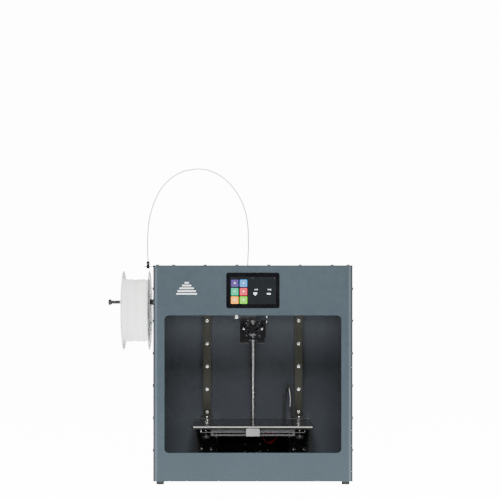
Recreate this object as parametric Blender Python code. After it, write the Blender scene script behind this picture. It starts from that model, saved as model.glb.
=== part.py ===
"""Desktop FDM printer: folded sheet-metal body, moving bed, belt gantry, print head and filament spool.

Metres, +Z up. The body's middle lies at X = BODY_X, so that the whole printer, with the spool that
hangs on its left side, is centred on the origin. The front faces -Y and the feet stand on Z = 0.
"""
import math

import bmesh
import bpy
from mathutils import Matrix, Vector

# --- driving dimensions -------------------------------------------------------------------------
GAP = 0.0003                      # clearance between pieces that touch
SHEET = 0.002                     # body sheet thickness
BODY_WIDTH = 0.478
BODY_DEPTH = 0.440
FOOT_HEIGHT = 0.0075
BODY_TOP = 0.525
CORNER_RADIUS = 0.008             # bend at the vertical edges
FOLD_DEPTH = 0.014                # how far front and rear sheets fold round the sides
WINDOW_HALF_WIDTH = 0.211
WINDOW_LOW = 0.0765
WINDOW_HIGH = 0.4047
TOP_FLANGE = 0.030
PAN_TOP = 0.0102                  # upper face of the bottom sheet, with its gap
WINDOW_RADIUS = 0.010
COLLAR_DEPTH = 0.012              # return flange round the window
TOP_SCREWS_X = (0.038, 0.114, 0.190, 0.228)
SCREW_LOW_Z = 0.081
SCREW_PITCH = 0.0775
DISPLAY_Z = 0.464
VENT_ROWS = 8
VENT_LOW = 0.200
VENT_PITCH = 0.012
VENT_X = 0.110
VENT_HALF = 0.035

WALL_Y = 0.164                    # front face of the inner wall that carries the Z rails
RAIL_X = 0.120
LEAD_SCREW_Y = 0.1405
LEAD_SCREW_RADIUS = 0.004
PLATE_HALF_WIDTH = 0.150
PLATE_FRONT = -0.130
PLATE_REAR = 0.127
PLATE_TOP = 0.133
PLATE_THICKNESS = 0.004
ARM_INNER_X = 0.088
ARM_OUTER_X = 0.152
ARM_Y = 0.129
LEVEL_POINTS = {"left": (-0.115, -0.105), "right": (0.115, -0.105), "rear": (0.0, 0.095)}

MOTOR_SIZE = 0.042
MOTOR_LENGTH = 0.038
SHAFT_RADIUS = 0.0025
PULLEY_RADIUS = 0.0058
FLANGE_RADIUS = 0.0084
BELT_INNER = 0.0062
BELT_OUTER = 0.0071
BELT_WIDTH = 0.006
Y_BELT_X = 0.213
Y_BELT_Z = 0.500
DRIVE_SHAFT_Y = 0.188
DRIVE_SHAFT_HALF = 0.2275
Y_IDLER_Y = -0.195
GANTRY_Y = 0.044                  # middle of the cross beam
BEAM_LOW = 0.456
BEAM_HIGH = 0.486
X_BELT_Y = 0.027
X_BELT_Z = 0.471
X_PULLEY_X = 0.188

FILAMENT_X = -0.014               # the filament's line through the print head
NOZZLE_Z = 0.333
FAN_Z = 0.369
EXTRUDER_MOTOR_LENGTH = 0.025
GEAR_X, GEAR_Z = -0.002, 0.429
GEAR_TEETH = 18
SLIDER_LENGTH = 0.043             # bearing block that runs on the cross beam

SPOOL_Y = -0.020
SPOOL_Z = 0.416
SPOOL_X = -0.2918
SPOOL_HALF_WIDTH = 0.0338
SPOOL_RADIUS = 0.100
SPOOL_BORE = 0.026
WINDING_RADIUS = 0.080
ROD_RADIUS = 0.005
ROD_Z = SPOOL_Z + SPOOL_BORE - ROD_RADIUS - GAP
ROD_TIP_X = -0.364
SCREW_HEAD = 0.0015               # height of the body's button-head screws

# Middle lines of the flexible parts: (x, z) of the feed tube, and of the heater cable behind the bed.
FEED_RISE = ((-0.2635, 0.5383), (-0.2648, 0.5660), (-0.2648, 0.5919), (-0.2616, 0.6370), (-0.2503, 0.6821),
             (-0.2303, 0.7225), (-0.2055, 0.7485), (-0.1763, 0.7655), (-0.1406, 0.7725))
FEED_FALL = ((-0.1400, 0.7725), (-0.1134, 0.7695), (-0.0865, 0.7581), (-0.0641, 0.7413), (-0.0416, 0.7145),
             (-0.0258, 0.6851), (-0.0157, 0.6515), (-0.0116, 0.6109), (-0.0115, 0.5703), (-0.0132, 0.5341),
             (-0.0140, 0.5000), (-0.0140, 0.4706))
BED_LOOP = ((0.0830, 0.1126), (0.0826, 0.1400), (0.0826, 0.1750), (0.0845, 0.2010), (0.0890, 0.2160),
            (0.0945, 0.2170), (0.0990, 0.2040), (0.1012, 0.1800), (0.1020, 0.1550), (0.1020, 0.1356))
TUBE_RADIUS = 0.0020
CABLE_RADIUS = 0.0025
CABLE_Y = 0.1400

HALF_WIDTH = BODY_WIDTH / 2
HALF_DEPTH = BODY_DEPTH / 2
BODY_X = -(ROD_TIP_X + HALF_WIDTH + SCREW_HEAD) / 2

# --- materials: colour, roughness, metallic -------------------------------------------------------
FINISHES = {
    "body_coat": ((0.115, 0.152, 0.180), 0.55, 0.0),
    "inner_coat": ((0.030, 0.033, 0.040), 0.60, 0.0),
    "black_plastic": ((0.012, 0.012, 0.014), 0.45, 0.0),
    "rubber": ((0.015, 0.015, 0.015), 0.85, 0.0),
    "display_glass": ((0.010, 0.011, 0.013), 0.08, 0.0),
    "rail_steel": ((0.26, 0.26, 0.23), 0.35, 0.9),
    "bright_steel": ((0.60, 0.60, 0.60), 0.25, 1.0),
    "aluminium": ((0.62, 0.63, 0.65), 0.38, 1.0),
    "dark_aluminium": ((0.06, 0.06, 0.065), 0.50, 0.6),
    "brass": ((0.75, 0.55, 0.22), 0.30, 1.0),
    "belt_rubber": ((0.02, 0.02, 0.022), 0.75, 0.0),
    "circuit_board": ((0.02, 0.10, 0.05), 0.50, 0.0),
    "clear_plastic": ((0.55, 0.57, 0.58), 0.15, 0.0),
    "filament": ((0.86, 0.84, 0.80), 0.40, 0.0),
    "feed_tube": ((0.80, 0.80, 0.78), 0.30, 0.0),
    "cable": ((0.012, 0.012, 0.012), 0.55, 0.0),
}


def clear_scene():
    for old in list(bpy.data.objects):
        bpy.data.objects.remove(old)


def finish(name):
    """The named Principled material, made the first time it is asked for."""
    known = bpy.data.materials.get(name)
    if known:
        return known
    colour, roughness, metallic = FINISHES[name]
    made = bpy.data.materials.new(name)
    made.use_nodes = True
    shader = made.node_tree.nodes["Principled BSDF"]
    shader.inputs["Base Color"].default_value = (*colour, 1.0)
    shader.inputs["Roughness"].default_value = roughness
    shader.inputs["Metallic"].default_value = metallic
    made.diffuse_color = (*colour, 1.0)
    return made


def group(name, parent=None):
    """An empty that a body's pieces are parented to."""
    empty = bpy.data.objects.new(name, None)
    bpy.context.scene.collection.objects.link(empty)
    empty.parent = parent
    return empty


def piece(name, mesh_data, slot, parent, location=(0, 0, 0), smooth=False):
    """Turn a bmesh into a named object with its own material."""
    bmesh.ops.remove_doubles(mesh_data, verts=mesh_data.verts, dist=1e-7)
    bmesh.ops.recalc_face_normals(mesh_data, faces=mesh_data.faces)
    mesh = bpy.data.meshes.new(name)
    mesh_data.to_mesh(mesh)
    mesh_data.free()
    mesh.materials.append(finish(slot))
    if smooth:
        mesh.shade_smooth()
        mesh.set_sharp_from_angle(angle=math.radians(35))
    made = bpy.data.objects.new(name, mesh)
    made.location = location
    made.parent = parent
    bpy.context.scene.collection.objects.link(made)
    return made


def add_block(mesh_data, low, high):
    """Add an axis-aligned box to a bmesh."""
    low, high = Vector(low), Vector(high)
    size = high - low
    place = Matrix.Translation((low + high) / 2) @ Matrix.Diagonal((*size, 1))
    bmesh.ops.create_cube(mesh_data, size=1, matrix=place)


def block(name, low, high, slot, parent, bevel=0.0):
    """A box between two corners, with its origin at its middle."""
    centre = (Vector(low) + Vector(high)) / 2
    mesh_data = bmesh.new()
    add_block(mesh_data, Vector(low) - centre, Vector(high) - centre)
    made = piece(name, mesh_data, slot, parent, centre)
    if bevel:
        edge = made.modifiers.new("edge", "BEVEL")
        edge.width = bevel
        edge.segments = 1
    return made


def oriented(axis):
    """Rotation that takes a shape drawn along +Z onto the X, Y or Z axis."""
    if axis == "X":
        return Matrix(((0, 0, 1, 0), (1, 0, 0, 0), (0, 1, 0, 0), (0, 0, 0, 1)))
    if axis == "Y":
        return Matrix(((1, 0, 0, 0), (0, 0, 1, 0), (0, 1, 0, 0), (0, 0, 0, 1)))
    return Matrix.Identity(4)


def add_prism(mesh_data, outline, depth, axis, hole=None, start=0.0):
    """Extrude an outline along an axis: (y, z) along X, (x, z) along Y, or (x, y) along Z.

    A hole has as many points as the outline, in the same order.
    """
    turn = oriented(axis)
    rings = []
    for points in (outline, hole or []):
        for height in (start, start + depth):
            rings.append([mesh_data.verts.new(turn @ Vector((u, v, height))) for u, v in points])
    outer_low, outer_high, inner_low, inner_high = rings
    count = len(outline)
    for i in range(count):
        j = (i + 1) % count
        mesh_data.faces.new((outer_low[i], outer_low[j], outer_high[j], outer_high[i]))
        if hole:
            mesh_data.faces.new((inner_low[j], inner_low[i], inner_high[i], inner_high[j]))
            mesh_data.faces.new((outer_low[i], inner_low[i], inner_low[j], outer_low[j]))
            mesh_data.faces.new((outer_high[i], outer_high[j], inner_high[j], inner_high[i]))
    if not hole:
        mesh_data.faces.new(outer_low)
        mesh_data.faces.new(outer_high)


def prism(name, outline, depth, axis, slot, parent, location=(0, 0, 0), hole=None, smooth=False):
    mesh_data = bmesh.new()
    add_prism(mesh_data, outline, depth, axis, hole)
    return piece(name, mesh_data, slot, parent, location, smooth)


def arc(centre_u, centre_v, radius, start, end, steps):
    """Points of an arc from start to end, in degrees."""
    points = []
    for i in range(steps + 1):
        angle = math.radians(start + (end - start) * i / steps)
        points.append((centre_u + radius * math.cos(angle), centre_v + radius * math.sin(angle)))
    return points


def rounded_rectangle(low_u, high_u, low_v, high_v, radius, steps=4):
    corners = ((high_u - radius, low_v + radius, -90), (high_u - radius, high_v - radius, 0),
               (low_u + radius, high_v - radius, 90), (low_u + radius, low_v + radius, 180))
    points = []
    for centre_u, centre_v, start in corners:
        points += arc(centre_u, centre_v, radius, start, start + 90, steps)
    return points


def race_track(low_u, high_u, centre_v, radius, steps=8):
    """A loop of two half circles round the ends low_u and high_u."""
    return arc(high_u, centre_v, radius, -90, 90, steps) + arc(low_u, centre_v, radius, 90, 270, steps)


def circle(centre_u, centre_v, radius, sides=16):
    return arc(centre_u, centre_v, radius, 0, 360 - 360 / sides, sides - 1)


def add_turned(mesh_data, profile, axis, centre, sides):
    """Revolve (radius, height) points about an axis through centre; radius 0 closes an end."""
    turn = Matrix.Translation(centre) @ oriented(axis)
    rings = []
    for radius, height in profile:
        if radius == 0:
            rings.append([mesh_data.verts.new(turn @ Vector((0, 0, height)))])
            continue
        ring = [Vector((u, v, height)) for u, v in circle(0, 0, radius, sides)]
        rings.append([mesh_data.verts.new(turn @ point) for point in ring])
    closed = profile[0][0] != 0
    pairs = list(zip(rings, rings[1:] + rings[:1]))
    for first, second in pairs if closed else pairs[:-1]:
        for i in range(sides):
            j = (i + 1) % sides
            corners = [first[i % len(first)], first[j % len(first)],
                       second[j % len(second)], second[i % len(second)]]
            mesh_data.faces.new(list(dict.fromkeys(corners)))


def turned(name, profile, axis, slot, parent, location, sides=24):
    mesh_data = bmesh.new()
    add_turned(mesh_data, profile, axis, (0, 0, 0), sides)
    return piece(name, mesh_data, slot, parent, location, smooth=True)


def add_cylinder(mesh_data, centre, radius, length, axis, sides=16):
    half = length / 2
    add_turned(mesh_data, [(0, -half), (radius, -half), (radius, half), (0, half)], axis, centre, sides)


def combine(target, mesh_data, operation):
    """Boolean a bmesh, drawn in the parent's frame, with a piece."""
    slot = target.data.materials[0].name
    tool = piece(target.name + "_" + operation.lower(), mesh_data, slot, target.parent)
    tool.hide_render = True
    tool.display_type = "WIRE"
    modifier = target.modifiers.new(operation.lower(), "BOOLEAN")
    modifier.object = tool
    modifier.operation = operation
    modifier.solver = "EXACT"


def join(target, mesh_data):
    combine(target, mesh_data, "UNION")


def cut(target, mesh_data):
    combine(target, mesh_data, "DIFFERENCE")


def both_sides():
    """The left and right side, with the sign of X there."""
    return (("left", -1), ("right", 1))


# --- body ---------------------------------------------------------------------------------------
def folded_outline(face_y, inward):
    """Plan outline of a front or rear sheet whose ends fold round the sides."""
    bend_y = face_y + inward * CORNER_RADIUS
    inner = CORNER_RADIUS - SHEET
    bend_x = HALF_WIDTH - CORNER_RADIUS
    end_y = face_y + inward * FOLD_DEPTH
    turn = -inward
    outer_left = arc(-bend_x, bend_y, CORNER_RADIUS, 180, 180 - turn * 90, 4)
    outer_right = arc(bend_x, bend_y, CORNER_RADIUS, turn * 90, 0, 4)
    inner_right = arc(bend_x, bend_y, inner, 0, turn * 90, 4)
    inner_left = arc(-bend_x, bend_y, inner, 180 - turn * 90, 180, 4)
    return ([(-HALF_WIDTH, end_y)] + outer_left + outer_right + [(HALF_WIDTH, end_y)]
            + [(HALF_WIDTH - SHEET, end_y)] + inner_right + inner_left + [(-HALF_WIDTH + SHEET, end_y)])


def make_front_panel(parent):
    low = FOOT_HEIGHT + GAP
    height = BODY_TOP - SHEET - GAP - low
    panel = prism("front_panel", folded_outline(-HALF_DEPTH, 1), height, "Z", "body_coat", parent,
                  location=(0, 0, low), smooth=True)
    collar = bmesh.new()
    wide, low_edge, high_edge = WINDOW_HALF_WIDTH, WINDOW_LOW, WINDOW_HIGH
    outer = rounded_rectangle(-wide - SHEET, wide + SHEET, low_edge - SHEET, high_edge + SHEET,
                              WINDOW_RADIUS + SHEET)
    inner = rounded_rectangle(-wide, wide, low_edge, high_edge, WINDOW_RADIUS)
    add_prism(collar, outer, COLLAR_DEPTH, "Y", hole=inner, start=-HALF_DEPTH + SHEET / 2)
    opening = bmesh.new()
    add_prism(opening, inner, 2 * SHEET, "Y", start=-HALF_DEPTH - SHEET / 2)
    cut(panel, opening)
    join(panel, collar)
    slot = bmesh.new()
    cutout = rounded_rectangle(-0.054, 0.054, DISPLAY_Z - 0.034, DISPLAY_Z + 0.034, 0.0005, 1)
    add_prism(slot, cutout, 2 * SHEET, "Y", start=-HALF_DEPTH - SHEET / 2)
    cut(panel, slot)


def make_side_panel(side, sign, parent):
    outer = sign * HALF_WIDTH
    inner = sign * (HALF_WIDTH - SHEET)
    low, high = FOOT_HEIGHT + GAP, BODY_TOP - SHEET - GAP
    reach = HALF_DEPTH - FOLD_DEPTH - GAP
    span = sorted((outer, inner))
    panel = block(side + "_panel", (span[0], -reach, low), (span[1], reach, high), "body_coat", parent)
    fittings = bmesh.new()
    for i in range(6):
        for y in (-reach + 0.010, reach - 0.010):
            head = (outer + sign * SCREW_HEAD / 2 - sign * 0.0005, y, SCREW_LOW_Z + i * SCREW_PITCH)
            add_cylinder(fittings, head, 0.0038, SCREW_HEAD + 0.001, "X", sides=8)
    rail = sorted((sign * (HALF_WIDTH - 0.0005), sign * 0.2287))
    add_block(fittings, (rail[0], -0.115, 0.465), (rail[1], 0.183, 0.477))
    bearing = sorted((sign * (HALF_WIDTH - 0.0005), sign * 0.2255))
    add_block(fittings, (bearing[0], DRIVE_SHAFT_Y - 0.010, 0.4895),
              (bearing[1], DRIVE_SHAFT_Y + 0.010, 0.5105))
    bracket = sorted((sign * (HALF_WIDTH - 0.0005), sign * 0.2205))
    add_block(fittings, (bracket[0], Y_IDLER_Y - 0.008, 0.492), (bracket[1], Y_IDLER_Y + 0.008, 0.508))
    join(panel, fittings)
    pin = bmesh.new()
    add_cylinder(pin, (sign * 0.2150, Y_IDLER_Y, Y_BELT_Z), 0.002, 0.015, "X", sides=12)
    join(panel, pin)
    pin_head = bmesh.new()
    add_cylinder(pin_head, (sign * 0.2073, Y_IDLER_Y, Y_BELT_Z), 0.004, 0.002, "X", sides=12)
    join(panel, pin_head)
    holes = bmesh.new()
    add_cylinder(holes, (sign * 0.2290, DRIVE_SHAFT_Y, Y_BELT_Z), SHAFT_RADIUS + GAP, 0.010, "X", sides=12)
    if sign < 0:
        add_cylinder(holes, (outer, SPOOL_Y, ROD_Z), ROD_RADIUS + GAP, 0.008, "X", sides=16)
    cut(panel, holes)


def make_rear_panel(parent):
    low = FOOT_HEIGHT + GAP
    height = BODY_TOP - SHEET - GAP - low
    panel = prism("rear_panel", folded_outline(HALF_DEPTH, -1), height, "Z", "body_coat", parent,
                  location=(0, 0, low), smooth=True)
    holes = bmesh.new()
    for row in range(VENT_ROWS):
        z = VENT_LOW + row * VENT_PITCH
        for middle in (-VENT_X, VENT_X):
            outline = rounded_rectangle(middle - VENT_HALF, middle + VENT_HALF, z, z + 0.004, 0.0019, 1)
            add_prism(holes, outline, 0.006, "Y", start=HALF_DEPTH - 0.004)
    add_block(holes, (-0.1225, HALF_DEPTH - 0.004, 0.0475), (-0.0775, HALF_DEPTH + 0.002, 0.0725))
    cut(panel, holes)


def make_top_rim(parent):
    outline = rounded_rectangle(-HALF_WIDTH, HALF_WIDTH, -HALF_DEPTH, HALF_DEPTH, CORNER_RADIUS)
    wide, deep = HALF_WIDTH - TOP_FLANGE, HALF_DEPTH - TOP_FLANGE
    hole = rounded_rectangle(-wide, wide, -deep, deep, 0.010)
    rim = prism("top_rim", outline, SHEET, "Z", "body_coat", parent,
                location=(0, 0, BODY_TOP - SHEET), hole=hole)
    heads = bmesh.new()
    for x in TOP_SCREWS_X:
        for sign in (-1, 1):
            for y in (-0.206, 0.206):
                add_cylinder(heads, (sign * x, y, BODY_TOP + 0.0003), 0.0038, 0.0024, "Z", sides=8)
    join(rim, heads)


def make_base(parent):
    block("base_pan", (-0.2365, -0.2120, FOOT_HEIGHT + GAP), (0.2365, 0.2120, FOOT_HEIGHT + GAP + SHEET),
          "body_coat", parent)
    for place, y in (("front", -0.205), ("rear", 0.198)):
        for side, sign in both_sides():
            turned("foot_" + place + "_" + side, [(0, 0), (0.009, 0), (0.010, 0.0015), (0.010, FOOT_HEIGHT),
                   (0, FOOT_HEIGHT)], "Z", "rubber", parent, (sign * 0.222, y, 0), sides=16)


def make_inner_wall(parent):
    wall = block("z_mounting_plate", (-0.2365, WALL_Y, PAN_TOP), (0.2365, WALL_Y + SHEET, 0.436),
                 "inner_coat", parent)
    bearing = bmesh.new()
    add_block(bearing, (-0.016, 0.1286, 0.420), (0.016, WALL_Y + 0.001, 0.432))
    join(wall, bearing)
    bore = bmesh.new()
    add_cylinder(bore, (0, LEAD_SCREW_Y, 0.426), LEAD_SCREW_RADIUS + GAP, 0.020, "Z", sides=16)
    cut(wall, bore)
    front, rear = WALL_Y - 0.0175, WALL_Y - GAP
    waist = (front + rear) / 2 + 0.001
    half = [(0.010, front), (0.010, waist - 0.004), (0.0075, waist - 0.002), (0.0075, waist + 0.002),
            (0.010, waist + 0.004), (0.010, rear)]
    outline = half + [(-x, y) for x, y in reversed(half)]
    for side, sign in both_sides():
        prism("z_rail_" + side, outline, 0.418, "Z", "rail_steel", parent, (sign * RAIL_X, 0, 0.014))


def motor_outline(centre_u, centre_v, size=MOTOR_SIZE, corner=0.004):
    half = size / 2
    return rounded_rectangle(centre_u - half, centre_u + half, centre_v - half, centre_v + half, corner, 1)


def make_fixed_drives(parent):
    prism("z_motor", motor_outline(0, LEAD_SCREW_Y), MOTOR_LENGTH, "Z", "black_plastic", parent,
          (0, 0, PAN_TOP))
    motor = prism("y_motor", motor_outline(DRIVE_SHAFT_Y, Y_BELT_Z), MOTOR_LENGTH, "X", "black_plastic",
                  parent, (-MOTOR_LENGTH / 2, 0, 0))
    bracket = bmesh.new()
    add_block(bracket, (-0.030, DRIVE_SHAFT_Y + 0.0205, 0.480), (0.030, HALF_DEPTH - SHEET - GAP, 0.520))
    join(motor, bracket)
    bore = bmesh.new()
    add_cylinder(bore, (0, DRIVE_SHAFT_Y, Y_BELT_Z), SHAFT_RADIUS + GAP, 0.050, "X", sides=12)
    cut(motor, bore)
    outer = race_track(Y_IDLER_Y, DRIVE_SHAFT_Y, Y_BELT_Z, BELT_OUTER)
    inner = race_track(Y_IDLER_Y, DRIVE_SHAFT_Y, Y_BELT_Z, BELT_INNER)
    for side, sign in both_sides():
        prism("y_belt_" + side, outer, BELT_WIDTH, "X", "belt_rubber", parent,
              (sign * Y_BELT_X - BELT_WIDTH / 2, 0, 0), hole=inner)


def make_electronics(parent):
    block("power_supply", (-0.200, WALL_Y + SHEET + GAP, 0.090), (-0.040, 0.198, 0.190), "aluminium",
          parent, bevel=0.001)
    board = block("main_board", (0.030, 0.172, 0.070), (0.170, 0.1736, 0.180), "circuit_board", parent)
    fittings = bmesh.new()
    for x in (0.036, 0.164):
        for z in (0.076, 0.174):
            add_cylinder(fittings, (x, 0.1694, z), 0.003, 0.0062, "Y", sides=8)
    add_block(fittings, (0.080, 0.1730, 0.110), (0.104, 0.178, 0.134))
    for i in range(4):
        add_block(fittings, (0.045 + i * 0.030, 0.1730, 0.150), (0.063 + i * 0.030, 0.184, 0.165))
    add_block(fittings, (0.050, 0.1730, 0.076), (0.150, 0.186, 0.088))
    join(board, fittings)
    inlet = block("power_inlet", (-0.125, HALF_DEPTH + GAP, 0.045), (-0.075, HALF_DEPTH + 0.0013, 0.075),
                  "black_plastic", parent)
    body = bmesh.new()
    add_block(body, (-0.1220, 0.2010, 0.0480), (-0.0780, HALF_DEPTH + 0.001, 0.0720))
    join(inlet, body)
    sockets = bmesh.new()
    socket_floor, depth = 0.2065, 0.016
    outline = rounded_rectangle(-0.1205, -0.0965, 0.0510, 0.0690, 0.004, 2)
    add_prism(sockets, outline, depth, "Y", start=socket_floor)
    add_block(sockets, (-0.0935, socket_floor, 0.0495), (-0.0795, socket_floor + depth, 0.0705))
    cut(inlet, sockets)
    rocker_y = 0.2135
    outline = [(-0.004, -0.004), (0.0035, -0.0085), (0.0070, -0.0085), (0.0050, 0), (0.0070, 0.0085),
               (0.0035, 0.0085), (-0.004, 0.004)]
    rocker = prism("power_switch", outline, 0.0134, "X", "black_plastic", parent,
                   (-0.0932, rocker_y, 0.060))
    rocker.rotation_euler = (math.radians(8), 0, 0)


def make_display(parent):
    face = -HALF_DEPTH
    bezel = prism("display_bezel", rounded_rectangle(-0.0633, 0.0633, 0.4220, 0.5062, 0.005), 0.0010, "Y",
                  "black_plastic", parent, (0, face - 0.0013, 0))
    body = bmesh.new()
    add_block(body, (-0.0535, face - 0.0008, 0.4305), (0.0535, face + 0.012, 0.4975))
    join(bezel, body)
    recess = bmesh.new()
    add_block(recess, (-0.0556, face - 0.003, 0.4310), (0.0556, face - 0.0009, 0.4970))
    cut(bezel, recess)
    block("display_glass", (-0.0553, face - 0.0013, 0.4313), (0.0553, face - 0.0010, 0.4967),
          "display_glass", parent)


# --- filament supply ------------------------------------------------------------------------------
def smooth_route(points, spacing):
    """Points along a Catmull-Rom curve through the route, about spacing apart."""
    route = [Vector(p) for p in points]
    route = [2 * route[0] - route[1]] + route + [2 * route[-1] - route[-2]]
    smooth = []
    for a, b, c, d in zip(route, route[1:], route[2:], route[3:]):
        steps = max(1, round((c - b).length / spacing))
        for i in range(steps):
            t = i / steps
            smooth.append(0.5 * (2 * b + (c - a) * t + (2 * a - 5 * b + 4 * c - d) * t ** 2
                                 + (3 * b - a - 3 * c + d) * t ** 3))
    return smooth + [route[-2]]


def flexible(name, points, radius, slot, parent):
    curve = bpy.data.curves.new(name, "CURVE")
    curve.dimensions = "3D"
    curve.bevel_depth = radius
    curve.bevel_resolution = 2
    curve.use_fill_caps = True
    route = smooth_route(points, radius * 5)
    spline = curve.splines.new("POLY")
    spline.points.add(len(route) - 1)
    for point, place in zip(spline.points, route):
        point.co = (*place, 1)
    curve.materials.append(finish(slot))
    made = bpy.data.objects.new(name, curve)
    made.parent = parent
    bpy.context.scene.collection.objects.link(made)


def feed_route(points):
    """The feed tube leans back from the side fitting to the print head as it goes across."""
    start, end = FEED_RISE[0][0], FEED_FALL[-1][0]
    return [(x, SPOOL_Y * min(1, max(0, (end - x) / (end - start))), z) for x, z in points]


def make_supply(parent):
    wall = -HALF_WIDTH
    nut = wall + SHEET + GAP
    boss = wall - GAP
    profile = [(0, nut + 0.006), (0.009, nut + 0.006), (0.009, nut), (ROD_RADIUS, nut), (ROD_RADIUS, boss),
               (0.0075, boss), (0.0075, wall - 0.0182), (ROD_RADIUS, wall - 0.0182), (ROD_RADIUS, -0.3555),
               (0.008, -0.3555), (0.008, -0.3615), (0.0055, -0.364), (0, -0.364)]
    turned("spool_rod", profile, "X", "black_plastic", parent, (0, SPOOL_Y, ROD_Z), sides=20)
    fitting = block("guide_fitting", (-0.274, SPOOL_Y - 0.010, BODY_TOP + GAP),
                    (-0.214, SPOOL_Y + 0.010, 0.5273), "black_plastic", parent)
    stem = bmesh.new()
    add_turned(stem, [(0, 0.5205), (0.0048, 0.5205), (0.0048, 0.5310), (0.0040, 0.5325), (0.0040, 0.5345),
                      (0.0050, 0.5360), (0.0050, 0.5380), (0, 0.5380)], "Z", (-0.2635, SPOOL_Y, 0), 12)
    join(fitting, stem)
    flexible("feed_tube_rise", feed_route(FEED_RISE), TUBE_RADIUS, "feed_tube", parent)


def make_spool(parent):
    hub, rim, flange = 0.030, SPOOL_RADIUS, 0.003
    half = SPOOL_HALF_WIDTH
    profile = [(SPOOL_BORE, half), (rim, half), (rim, half - flange), (hub, half - flange),
               (hub, flange - half), (rim, flange - half), (rim, -half), (SPOOL_BORE, -half)]
    turned("spool", profile, "X", "clear_plastic", parent, (SPOOL_X, SPOOL_Y, SPOOL_Z), sides=40)
    inside = half - flange - GAP
    core = hub + GAP
    profile = [(core, inside), (WINDING_RADIUS, inside), (WINDING_RADIUS, -inside), (core, -inside)]
    turned("filament_winding", profile, "X", "filament", parent, (SPOOL_X, SPOOL_Y, SPOOL_Z), sides=40)


# --- moving shafts and pulleys ----------------------------------------------------------------------
def pulley_profile(middle, bore=0.0):
    """A flanged belt pulley whose middle is at the given height on its axis."""
    half, flange = BELT_WIDTH / 2 + 0.0004, 0.0007
    low, high = middle - half - flange, middle + half + flange
    return [(bore, low), (FLANGE_RADIUS, low), (FLANGE_RADIUS, low + flange), (PULLEY_RADIUS, low + flange),
            (PULLEY_RADIUS, high - flange), (FLANGE_RADIUS, high - flange), (FLANGE_RADIUS, high),
            (bore, high)]


def make_shafts(parent, gantry):
    end = DRIVE_SHAFT_HALF
    profile = [(0, -end), (SHAFT_RADIUS, -end), *pulley_profile(-Y_BELT_X, SHAFT_RADIUS),
               *pulley_profile(Y_BELT_X, SHAFT_RADIUS), (SHAFT_RADIUS, end), (0, end)]
    turned("y_drive_shaft", profile, "X", "bright_steel", parent, (0, DRIVE_SHAFT_Y, Y_BELT_Z), sides=16)
    for side, sign in both_sides():
        turned("y_idler_" + side, pulley_profile(0, 0.0023), "X", "aluminium", parent,
               (sign * Y_BELT_X, Y_IDLER_Y, Y_BELT_Z), sides=16)
    profile = [(0, 0.0483), (0.008, 0.0483), (0.008, 0.068), (LEAD_SCREW_RADIUS, 0.0685),
               (LEAD_SCREW_RADIUS, 0.434), (0, 0.434)]
    turned("lead_screw", profile, "Z", "bright_steel", parent, (0, LEAD_SCREW_Y, 0), sides=16)
    shaft_end = 0.0540 - X_BELT_Y
    wheel = pulley_profile(0, SHAFT_RADIUS)
    profile = [(0, wheel[0][1]), *wheel[1:], (SHAFT_RADIUS, shaft_end), (0, shaft_end)]
    turned("x_pulley", profile, "Y", "aluminium", gantry, (-X_PULLEY_X, X_BELT_Y, X_BELT_Z), sides=16)
    turned("x_idler", pulley_profile(0, 0.0023), "Y", "aluminium", gantry,
           (X_PULLEY_X, X_BELT_Y, X_BELT_Z), sides=16)


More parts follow.
